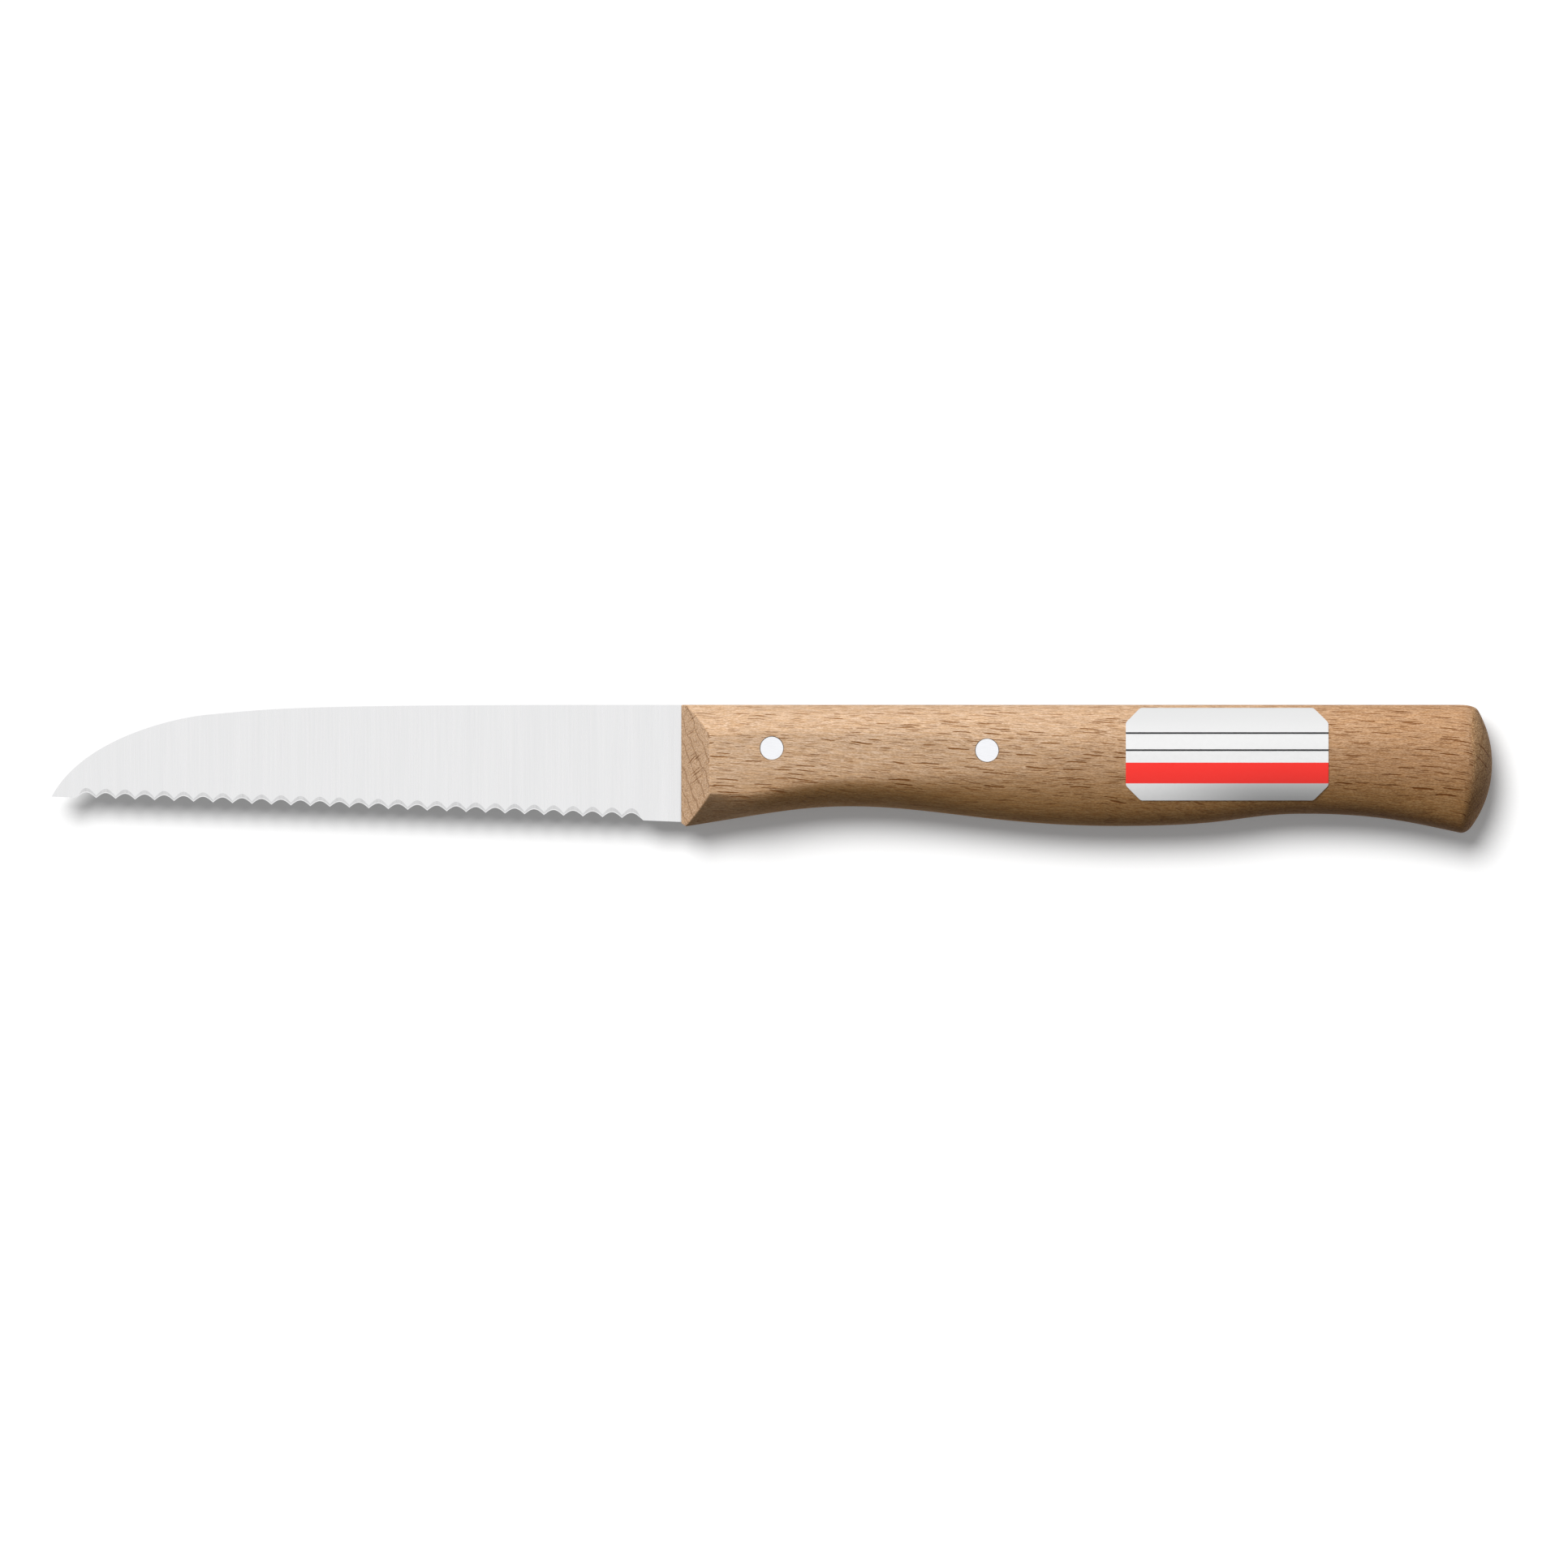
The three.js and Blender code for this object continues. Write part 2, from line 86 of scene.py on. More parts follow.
class Blend(Enum):
    """How one colour is laid over another."""

    MIX = "MIX"
    MULTIPLY = "MULTIPLY"


def smoothstep(value: Array, low: float, high: float) -> Array:
    """A soft step from 0 at low to 1 at high: three times the square less twice the cube.

    Args:
        value: Where to read the step.
        low: Where it leaves 0.
        high: Where it reaches 1.

    Returns:
        The height of the step at each value.
    """
    share = np.clip((np.asarray(value, float) - low) / (high - low), 0.0, 1.0)
    return share * share * (3.0 - 2.0 * share)


def cubic(ends: Array, steps: int) -> Array:
    """Points of a cubic curve, the four control points weighted by the Bernstein polynomials.

    Args:
        ends: The four control points, one in each row.
        steps: How many points to return.

    Returns:
        One point in each row, from the first control point to the last.
    """
    t = np.linspace(0.0, 1.0, steps)[:, None]
    s = 1.0 - t
    a, b, c, d = ends
    return s**3 * a + 3.0 * s**2 * t * b + 3.0 * s * t**2 * c + t**3 * d


def turned_corner(start: Array, corner: Array, end: Array, steps: int) -> Array:
    """Rows of points that round a corner along quadratic curves.

    Args:
        start: Points before the corner, one row of them.
        corner: The sharp corner that the curves lean to.
        end: Points after the corner.
        steps: How many rows to return, without the first and last.

    Returns:
        An array of rows, each shaped as start is.
    """
    t = np.linspace(0.0, 1.0, steps + 2)[1:-1, None, None]
    s = 1.0 - t
    return s * s * start + 2.0 * s * t * corner + t * t * end


def grid_quads(rows: int, columns: int, closed: bool) -> Array:
    """Quads between the neighbours of a grid whose points are numbered row by row.

    Args:
        rows: Rows of points.
        columns: Points in each row.
        closed: Whether the last column joins the first.

    Returns:
        Four point numbers for each quad.
    """
    row = np.arange(rows - 1)[:, None] * columns
    column = np.arange(columns if closed else columns - 1)[None, :]
    after = (column + 1) % columns
    corners = (row + column, row + after, row + columns + after, row + columns + column)
    return np.stack(corners, axis=-1).reshape(-1, 4)


@dataclass(frozen=True)
class Datum:
    """The place that every size is measured from, in metres."""

    x: float
    y: float
    z: float

    @classmethod
    def of_handle(cls) -> "Datum":
        """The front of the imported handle, on its top line and its middle plane."""
        low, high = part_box("handle")
        return cls(low.x, high.y, 0.5 * (low.z + high.z))

    def place(self, points: Array) -> Array:
        """Millimetres from the datum turned into metres in the part's frame."""
        return np.asarray(points, float) * MM + np.array([self.x, self.y, self.z])


DATUM = Datum.of_handle()


def new_object(name: str, points: Array, faces: list, zones: Array | None = None) -> Object:
    """A mesh with its place in its points, doubles merged and faces turned outwards.

    Args:
        name: The piece's name.
        points: Its points in millimetres from the datum, one in each row.
        faces: Point numbers of each face.
        zones: Which of its finishes each face has, or None for one finish.

    Returns:
        The new object, linked to the scene.
    """
    mesh = bpy.data.meshes.new(name)
    mesh.from_pydata(DATUM.place(points).tolist(), [], faces)
    if zones is not None:
        mesh.polygons.foreach_set("material_index", np.asarray(zones, np.int32))
    work = bmesh.new()
    work.from_mesh(mesh)
    bmesh.ops.remove_doubles(work, verts=work.verts, dist=WELD * MM)
    bmesh.ops.dissolve_degenerate(work, edges=work.edges, dist=WELD * MM)
    bmesh.ops.recalc_face_normals(work, faces=work.faces)
    work.to_mesh(mesh)
    work.free()
    piece = bpy.data.objects.new(name, mesh)
    bpy.context.scene.collection.objects.link(piece)
    return piece


def prism(name: str, outline: Array, low: float, high: float) -> Object:
    """A closed prism over a flat outline, used as a cutter.

    Args:
        name: The cutter's name.
        outline: The x and y of its corners, in order.
        low: Its lowest z.
        high: Its highest z.

    Returns:
        The cutter.
    """
    count = len(outline)
    levels = [np.column_stack([outline, np.full(count, z)]) for z in (low, high)]
    sides = grid_quads(2, count, closed=True).tolist()
    caps = [list(range(count)), list(range(count, 2 * count))]
    return new_object(name, np.concatenate(levels), sides + caps)


def cut_away(piece: Object, cutters: list[Object]) -> None:
    """Takes the cutters out of a piece and removes them from the scene.

    Args:
        piece: The closed mesh to cut.
        cutters: Closed meshes to take away from it.
    """
    for cutter in cutters:
        modifier = piece.modifiers.new(cutter.name, "BOOLEAN")
        modifier.operation = "DIFFERENCE"
        modifier.solver = "EXACT"
        modifier.object = cutter
    shaped = piece.evaluated_get(bpy.context.evaluated_depsgraph_get())
    mesh = bpy.data.meshes.new_from_object(shaped)
    piece.modifiers.clear()
    piece.data = mesh
    for cutter in cutters:
        bpy.data.objects.remove(cutter)


def shade(piece: Object, crease_degrees: float) -> None:
    """Smooth shading, with edges sharper than an angle left crisp."""
    piece.data.shade_smooth()
    piece.data.set_sharp_from_angle(angle=math.radians(crease_degrees))


def enlist(piece: Object, node: str) -> None:
    """Tells the frame what a piece stands for, and logs it.

    Args:
        piece: The finished piece.
        node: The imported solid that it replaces.
    """
    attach(piece, BODY)
    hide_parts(node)
    log.info("%s: %d faces", piece.name, len(piece.data.polygons))


@dataclass(frozen=True)
class Step:
    """A soft step of a number: one value up to low, and another from high on."""

    low: float
    high: float
    at_low: float = 0.0
    at_high: float = 1.0


@dataclass(frozen=True)
class Waves:
    """Smooth noise: its waves in a millimetre along each axis, and how many finer layers it has."""

    scale: Triple
    detail: float


@dataclass(frozen=True)
class Spots:
    """Scattered spots: the cell that each sits in, and their least and greatest share of it."""

    cell: Triple
    smallest: float
    largest: float


@dataclass(frozen=True)
class Relief:
    """A fine relief: its depth in millimetres, and how much of it shows."""

    depth: float
    strength: float


class Graph:
    """A material's node tree, with short calls for the nodes that the finishes share."""

    def __init__(self, name: str) -> None:
        """Starts a material with one shader, and reads places in millimetres.

        Args:
            name: The material's name.
        """
        self.material = bpy.data.materials.new(name)
        self.material.use_nodes = True
        self.tree = self.material.node_tree
        self.shader = self.tree.nodes["Principled BSDF"]
        place = self.tree.nodes.new("ShaderNodeTexCoord")
        self.place = self.scaled(place.outputs["Object"], 1.0 / MM)

    def feed(self, socket: Socket, value: Feed) -> None:
        """Links a socket to another, or sets its own value.

        Args:
            socket: The socket to feed.
            value: The socket that feeds it, or the value.
        """
        if isinstance(value, Socket):
            self.tree.links.new(value, socket)
        else:
            socket.default_value = value

    def scaled(self, vector: Socket, factor: float) -> Socket:
        """A vector times one factor."""
        return self.vector("MULTIPLY", vector, (factor, factor, factor))

    def vector(self, operation: str, a: Socket, b: Feed) -> Socket:
        """A vector sum or product.

        Args:
            operation: The name of the operation.
            a: The first vector.
            b: The second vector.

        Returns:
            The resulting vector.
        """
        node = self.tree.nodes.new("ShaderNodeVectorMath")
        node.operation = operation
        self.feed(node.inputs[0], a)
        self.feed(node.inputs[1], b)
        return node.outputs["Vector"]

    def turn(self, vector: Socket, degrees: Triple) -> Socket:
        """A vector turned about X, Y and Z.

        Args:
            vector: The vector.
            degrees: The three angles.

        Returns:
            The turned vector.
        """
        node = self.tree.nodes.new("ShaderNodeMapping")
        node.inputs["Rotation"].default_value = [math.radians(d) for d in degrees]
        self.feed(node.inputs["Vector"], vector)
        return node.outputs["Vector"]

    def axes(self, vector: Socket) -> tuple[Socket, Socket, Socket]:
        """The three parts of a vector.

        Args:
            vector: The vector.

        Returns:
            Its X, Y and Z.
        """
        node = self.tree.nodes.new("ShaderNodeSeparateXYZ")
        self.feed(node.inputs["Vector"], vector)
        return node.outputs["X"], node.outputs["Y"], node.outputs["Z"]

    def shifted(self, vector: Socket, axis: str, amount: Socket) -> Socket:
        """A vector moved along one axis.

        Args:
            vector: The vector.
            axis: The name of the axis.
            amount: How far it moves.

        Returns:
            The moved vector.
        """
        node = self.tree.nodes.new("ShaderNodeCombineXYZ")
        self.feed(node.inputs[axis], amount)
        return self.vector("ADD", vector, node.outputs["Vector"])

    def math(self, operation: str, a: Feed, b: Feed = 0.0) -> Socket:
        """A sum of two numbers or another operation on them.

        Args:
            operation: The name of the operation.
            a: The first number.
            b: The second number, where the operation has one.

        Returns:
            The resulting number.
        """
        node = self.tree.nodes.new("ShaderNodeMath")
        node.operation = operation
        self.feed(node.inputs[0], a)
        self.feed(node.inputs[1], b)
        return node.outputs["Value"]

    def product(self, first: Feed, *others: Feed) -> Socket:
        """The product of several numbers.

        Args:
            first: The first number.
            others: The numbers that it is multiplied by.

        Returns:
            The product.
        """
        result = first
        for other in others:
            result = self.math("MULTIPLY", result, other)
        return result

    def ramp(self, value: Socket, step: Step) -> Socket:
        """A soft step of a number.

        Args:
            value: The number to read.
            step: Where the step lies, and its two ends.

        Returns:
            The height of the step.
        """
        node = self.tree.nodes.new("ShaderNodeMapRange")
        node.interpolation_type = "SMOOTHSTEP"
        self.feed(node.inputs["Value"], value)
        names = ("From Min", "From Max", "To Min", "To Max")
        for name, number in zip(names, astuple(step)):
            node.inputs[name].default_value = number
        return node.outputs["Result"]

    def noise(self, vector: Socket, waves: Waves) -> Socket:
        """Smooth noise from 0 to 1.

        Args:
            vector: Where to read it, in millimetres.
            waves: Its waves and layers.

        Returns:
            The height of the noise.
        """
        node = self.tree.nodes.new("ShaderNodeTexNoise")
        self.feed(node.inputs["Vector"], self.vector("MULTIPLY", vector, waves.scale))
        node.inputs["Scale"].default_value = 1.0
        node.inputs["Detail"].default_value = waves.detail
        return node.outputs["Fac"]

    def spindles(self, vector: Socket, spots: Spots) -> Socket:
        """Scattered pointed spots: cells whose distance to their own seed is under a random limit.

        Args:
            vector: Where to read them, in millimetres.
            spots: Their cells, and the least and the greatest limit.

        Returns:
            1 inside a spot and 0 outside, with a soft edge.
        """
        node = self.tree.nodes.new("ShaderNodeTexVoronoi")
        node.distance = "MINKOWSKI"
        node.inputs["Exponent"].default_value = SPINDLE_EXPONENT
        node.inputs["Scale"].default_value = 1.0
        per_cell = tuple(1.0 / size for size in spots.cell)
        self.feed(node.inputs["Vector"], self.vector("MULTIPLY", vector, per_cell))
        chance, _, _ = self.axes(node.outputs["Color"])
        limit = self.ramp(chance, Step(0.0, 1.0, spots.smallest, spots.largest))
        inside = self.math("SUBTRACT", limit, node.outputs["Distance"])
        return self.ramp(inside, Step(0.0, SPINDLE_EDGE))

    def mix(self, factor: Feed, a: Feed, b: Feed, blend: Blend = Blend.MIX) -> Socket:
        """One colour laid over another.

        Args:
            factor: How much of the second colour shows.
            a: The colour below.
            b: The colour above.
            blend: How they are combined.

        Returns:
            The resulting colour.
        """
        node = self.tree.nodes.new("ShaderNodeMix")
        node.data_type = "RGBA"
        node.blend_type = blend.value
        for number, value in zip(MIX_INPUTS, (factor, a, b)):
            self.feed(node.inputs[number], (*value, 1.0) if isinstance(value, tuple) else value)
        return node.outputs[MIX_RESULT]

    def facing(self, direction: Triple) -> Socket:
        """How squarely the surface faces a direction, from -1 to 1.

        Args:
            direction: A unit vector in the part's frame.

        Returns:
            Its dot product with the normal.
        """
        surface = self.tree.nodes.new("ShaderNodeNewGeometry")
        node = self.tree.nodes.new("ShaderNodeVectorMath")
        node.operation = "DOT_PRODUCT"
        self.feed(node.inputs[0], surface.outputs["Normal"])
        self.feed(node.inputs[1], direction)
        return node.outputs["Value"]

    def bump(self, height: Socket, relief: Relief) -> None:
        """Gives the shader a fine relief.

        Args:
            height: The height map.
            relief: How deep it is, and how much of it shows.
        """
        node = self.tree.nodes.new("ShaderNodeBump")
        node.inputs["Strength"].default_value = relief.strength
        node.inputs["Distance"].default_value = relief.depth * MM
        self.feed(node.inputs["Height"], height)
        self.feed(self.shader.inputs["Normal"], node.outputs["Normal"])

    def finish(self, **inputs: Feed) -> Material:
        """Feeds the shader and returns the material.

        Args:
            inputs: Values or sockets under the shader's input names, with _ for each space.

        Returns:
            The finished material.
        """
        for name, value in inputs.items():
            colour = (*value, 1.0) if isinstance(value, tuple) else value
            self.feed(self.shader.inputs[name.replace("_", " ")], colour)
        return self.material


@dataclass(frozen=True)
class BeechFinish:
    """Bare sanded beech: pale wood, dark ray flecks along the grain, pored end grain, and painted shade
    below.
    """

    pale: Colour = (0.785, 0.575, 0.415)
    # painted shade: duller wood downwards and towards the rear, where the light falls off
    painted_shade_dusky: Colour = (0.53, 0.35, 0.215)
    # painted shade: darker, more saturated wood low on the sides and on faces turned down
    painted_shade_rich: Colour = (0.40, 0.23, 0.095)
    rear: Colour = (0.58, 0.345, 0.19)
    # painted shade: very dark wood underneath and low down at the rear
    painted_shade_deep: Colour = (0.13, 0.065, 0.028)
    # end grain at the butt: its own colour, and partly painted light on an end that faces away from the
    # lamps
    end: Colour = (0.97, 0.67, 0.40)
    fleck: Colour = (0.35, 0.19, 0.05)
    golden: Colour = (1.0, 0.92, 0.79)
    shade: Colour = (0.64, 0.56, 0.46)
    pore: Colour = (0.45, 0.36, 0.28)
    grain_slope: float = 4.1
    fleck_slope: float = 7.5
    ray_turn: float = -58.0
    stagger: float = 11.3
    wander: Waves = Waves((0.03, 0.09, 0.09), 1.0)
    wander_reach: float = 2.4
    ripple: Waves = Waves((0.35, 0.8, 0.8), 1.0)
    ripple_reach: float = 0.35
    rearward: Step = Step(25.0, 90.0, 0.0, 0.7)
    end_facing: Step = Step(0.35, 0.6)
    behind_front: Step = Step(-9.0, 7.0, 0.4, 1.0)
    beside_front: Step = Step(0.3, 0.5, 1.0, 0.1)
    painted_shade_dusky_rearward: Step = Step(-10.0, 60.0, 0.1, 1.0)
    painted_shade_dusky_downward: Step = Step(7.0, -2.0)
    painted_shade_rich_rearward: Step = Step(15.0, 50.0, 1.0, 0.65)
    painted_shade_rich_downward: Step = Step(1.6, -5.5)
    painted_shade_rich_underneath: Step = Step(0.05, 0.7)
    painted_shade_deep_downward: Step = Step(5.0, -1.0, 0.0, 0.22)
    painted_shade_deep_underneath: Step = Step(0.5, 0.95)
    tint: Waves = Waves((0.5, 5.0, 7.0), 2.0)
    tint_step: Step = Step(0.42, 0.62, 0.0, 0.75)
    fibre: Waves = Waves((0.16, 3.4, 4.8), 3.0)
    fibre_step: Step = Step(0.35, 0.7, 0.0, 0.35)
    thread: Waves = Waves((0.6, 9.0, 11.0), 3.0)
    thread_step: Step = Step(0.42, 0.60, 0.0, 0.62)
    thread_height: float = 0.6
    dash: Waves = Waves((2.8, 9.0, 12.0), 2.0)
    dash_step: Step = Step(0.42, 0.60)
    dash_rearward: Step = Step(20.0, 90.0, 0.55, 0.75)
    flecks: Spots = Spots((3.0, 1.5, 0.30), 0.02, 0.44)
    fleck_share: float = 0.92
    specks: Spots = Spots((1.8, 1.0, 0.19), -0.05, 0.44)
    speck_share: float = 0.72
    spots_on_ends: Step = Step(0.0, 1.0, 1.0, 0.25)
    spots_on_rings: Step = Step(0.8, 0.96, 1.0, 0.3)
    rays: Spots = Spots((8.0, 9.0, 0.4), -0.12, 0.34)
    ray_share: float = 0.75
    ring_spacing: float = 1.7
    ring_wave: Waves = Waves((0.5, 0.5, 0.5), 2.0)
    ring_reach: float = 1.6
    ring_step: Step = Step(0.82, 1.0, 0.0, 0.7)
    pores: Waves = Waves((5.5, 5.5, 5.5), 2.0)
    pore_step: Step = Step(0.44, 0.62)
    pore_rearward: Step = Step(0.0, 90.0, 0.5, 0.8)
    relief: Relief = Relief(0.05, 0.6)
    gloss: Step = Step(0.2, 0.8, 0.6, 0.72)
    specular: float = 0.12

    def straightened(self, g: Graph) -> Socket:
        """Places moved up and down by slow and quick noise, so that the grain wanders.

        Args:
            g: The material's graph.

        Returns:
            The moved places.
        """
        wander = g.product(g.noise(g.place, self.wander), self.wander_reach)
        ripple = g.product(g.noise(g.place, self.ripple), self.ripple_reach)
        return g.shifted(g.place, "Y", g.math("ADD", wander, ripple))

    def sloped(self, g: Graph, vector: Socket, slope: float) -> Socket:
        """Places turned to a slope along the handle, and then across it to the rays."""
        return g.turn(g.turn(vector, (0.0, 0.0, slope)), (self.ray_turn, 0.0, 0.0))

    def tone_with_painted_shade(self, g: Graph, rearward: Socket, facing_end: Socket) -> Socket:
        """The broad colour, with painted shade: duller downwards and to the rear, richer and darker
        underneath.

        Args:
            g: The material's graph.
            rearward: How far the place is to the rear.
            facing_end: How far the surface is end grain.

        Returns:
            The colour.
        """
        along, across, _ = g.axes(g.place)
        downwards = g.facing(DOWNWARD)
        # painted shade, duller below the top and towards the rear
        painted_shade_dusky = g.product(g.ramp(along, self.painted_shade_dusky_rearward), g.ramp(across, self.painted_shade_dusky_downward))
        painted_shade_rich = g.product(g.ramp(across, self.painted_shade_rich_downward), g.ramp(along, self.painted_shade_rich_rearward))
        behind_front = g.ramp(along, self.behind_front)
        beside_front = g.ramp(g.facing(FORWARD), self.beside_front)
        stains = (
            (painted_shade_dusky, self.painted_shade_dusky),
            (rearward, self.rear),
            # end grain at the butt, lightened partly as painted light
            (g.product(facing_end, rearward), self.end),
            # painted shade low on the sides, kept off the sloping front
            (g.product(painted_shade_rich, behind_front, beside_front), self.painted_shade_rich),
            # painted shade low down and underneath at the rear
            (g.product(g.ramp(across, self.painted_shade_deep_downward), rearward), self.painted_shade_deep),
            # painted shade on faces turned downwards
            (g.product(g.ramp(downwards, self.painted_shade_rich_underneath), behind_front), self.painted_shade_rich),
            (g.product(g.ramp(downwards, self.painted_shade_deep_underneath), rearward), self.painted_shade_deep),
        )
        colour = self.pale
        for amount, stain in stains:
            colour = g.mix(amount, colour, stain)
        return colour

    def end_grain(self, g: Graph, grain: Socket) -> Socket:
        """Year rings, as thin waved lines of a sine across the grain, over scattered pores.

        Args:
            g: The material's graph.
            grain: Places along the grain.

        Returns:
            How dark the end grain is.
        """
        along, _, _ = g.axes(g.place)
        _, radial, _ = g.axes(grain)
        waved = g.math("ADD", radial, g.product(g.noise(g.place, self.ring_wave), self.ring_reach))
        rings = g.math("SINE", g.product(waved, 2.0 * math.pi / self.ring_spacing))
        pores = g.ramp(g.noise(g.place, self.pores), self.pore_step)
        pores = g.product(pores, g.ramp(along, self.pore_rearward))
        return g.math("MAXIMUM", g.ramp(rings, self.ring_step), pores)

    def side_grain(self, g: Graph, facing_end: Socket) -> Socket:
        """How far the surface shows flecks: few on the ends, and few where it is cut along the rings.

        Args:
            g: The material's graph.
            facing_end: How far the surface is end grain.

        Returns:
            The share.
        """
        turned = math.radians(self.ray_turn)
        along_rings = g.math("ABSOLUTE", g.facing((0.0, math.sin(turned), math.cos(turned))))
        on_ends = g.ramp(facing_end, self.spots_on_ends)
        return g.product(on_ends, g.ramp(along_rings, self.spots_on_rings))

    def material(self) -> Material:
        """The wood as one solid pattern, so that sides and ends belong together.

        Returns:
            The finished material.
        """
        g = Graph("beech")
        along, _, _ = g.axes(g.place)
        rearward = g.ramp(along, self.rearward)
        facing_end = g.ramp(g.math("ABSOLUTE", g.facing(REARWARD)), self.end_facing)
        straight = self.straightened(g)
        grain = self.sloped(g, straight, self.grain_slope)
        patterns = (self.tint, self.fibre, self.thread, self.dash)
        tint, fibre, thread, dash = (g.noise(grain, pattern) for pattern in patterns)
        dashes = g.product(g.ramp(dash, self.dash_step), g.ramp(along, self.dash_rearward))
        rows = self.sloped(g, straight, self.fleck_slope)
        bricked = g.shifted(rows, "X", g.product(g.axes(rows)[2], self.stagger))
        flecks = g.spindles(bricked, self.flecks)
        specks = g.product(g.spindles(bricked, self.specks), self.speck_share)
        spots = g.math("MAXIMUM", specks, g.product(flecks, self.fleck_share))
        marks = (
            (g.ramp(tint, self.tint_step), self.golden),
            (g.ramp(fibre, self.fibre_step), self.shade),
            (g.ramp(thread, self.thread_step), self.shade),
            (dashes, self.shade),
            (g.product(spots, self.side_grain(g, facing_end)), self.fleck),
            (g.product(facing_end, self.end_grain(g, grain)), self.pore),
            (g.product(facing_end, g.spindles(grain, self.rays), self.ray_share), self.fleck),
        )
        colour = self.tone_with_painted_shade(g, rearward, facing_end)
        for amount, stain in marks:
            colour = g.mix(amount, colour, stain, Blend.MULTIPLY)
        threads = g.product(thread, self.thread_height)
        g.bump(g.math("SUBTRACT", g.math("ADD", dash, threads), flecks), self.relief)
        return g.finish(
            Base_Color=colour,
            Roughness=g.ramp(fibre, self.gloss),
            Specular_IOR_Level=self.specular,
        )


class SteelZone(IntEnum):
    """The finishes of the blade, in the order of its materials."""

    FACE = 0
    GROUND = 1
    HONED = 2


@dataclass(frozen=True)
class SteelFinish:
    """Stainless steel with fine grinding lines across the blade."""

    name: str
    bright: Colour
    dull: Colour
    roughness: float
    lines_per_mm: float = 9.0
    line_stretch: float = 0.09
    line_detail: float = 3.0
    line_share: float = 0.6
    bands: Waves = Waves((0.55, 0.03, 0.03), 2.0)
    contrast: Pair = (0.3, 0.7)
    gloss_spread: float = 0.08
    relief: Relief = Relief(0.002, 0.25)

    def material(self) -> Material:
        """Steel whose brightness and gloss vary from one grinding line to the next.

        Returns:
            The finished material.
        """
        g = Graph(self.name)
        scale = (self.lines_per_mm, self.line_stretch, self.line_stretch)
        lines = g.noise(g.place, Waves(scale, self.line_detail))
        bands = g.product(g.noise(g.place, self.bands), 1.0 - self.line_share)
        blend = g.math("ADD", g.product(lines, self.line_share), bands)
        gloss = Step(*self.contrast, self.roughness, self.roughness + self.gloss_spread)
        g.bump(lines, self.relief)
        return g.finish(
            Base_Color=g.mix(g.ramp(blend, Step(*self.contrast)), self.bright, self.dull),
            Roughness=g.ramp(lines, gloss),
            Metallic=1.0,
        )


STEELS = {
    SteelZone.FACE: SteelFinish(
        name="brushed_steel",
        bright=(0.84, 0.84, 0.845),
        dull=(0.805, 0.805, 0.81),
        roughness=0.26,
    ),
    # darker steel on the ground scallops: coarser grinding lines, and painted shade for the darker
    # reflection of the bevel tilted away from the light
    SteelZone.GROUND: SteelFinish(
        name="ground_scallops_painted_shade",
        bright=(0.72, 0.72, 0.725),
        dull=(0.62, 0.62, 0.625),
        roughness=0.34,
        lines_per_mm=5.0,
    ),
    # brighter steel on the honed rim: a finer polish, and a painted highlight for the light that the
    # narrow rim catches
    SteelZone.HONED: SteelFinish(
        name="honed_edge_painted_highlight",
        bright=(0.87, 0.87, 0.875),
        dull=(0.82, 0.82, 0.825),
        roughness=0.2,
    ),
}


@dataclass(frozen=True)
class RivetFinish:
    """Aluminium ground flush, with faint grinding lines along the handle."""

    bright: Colour = (0.93, 0.935, 0.96)
    dull: Colour = (0.86, 0.865, 0.89)
    lines: Waves = Waves((0.5, 11.0, 2.0), 3.0)
    line_turn: float = 12.0
    line_step: Step = Step(0.4, 0.75)
    gloss: Step = Step(0.3, 0.7, 0.3, 0.45)
    relief: Relief = Relief(0.003, 0.3)

    def material(self) -> Material:
        """Bright metal that dulls a little along its scratches.

        Returns:
            The finished material.
        """
        g = Graph("rivet_metal")
        lines = g.noise(g.turn(g.place, (0.0, 0.0, self.line_turn)), self.lines)
        g.bump(lines, self.relief)
        return g.finish(
            Base_Color=g.mix(g.ramp(lines, self.line_step), self.bright, self.dull),
            Roughness=g.ramp(lines, self.gloss),
            Metallic=1.0,
        )


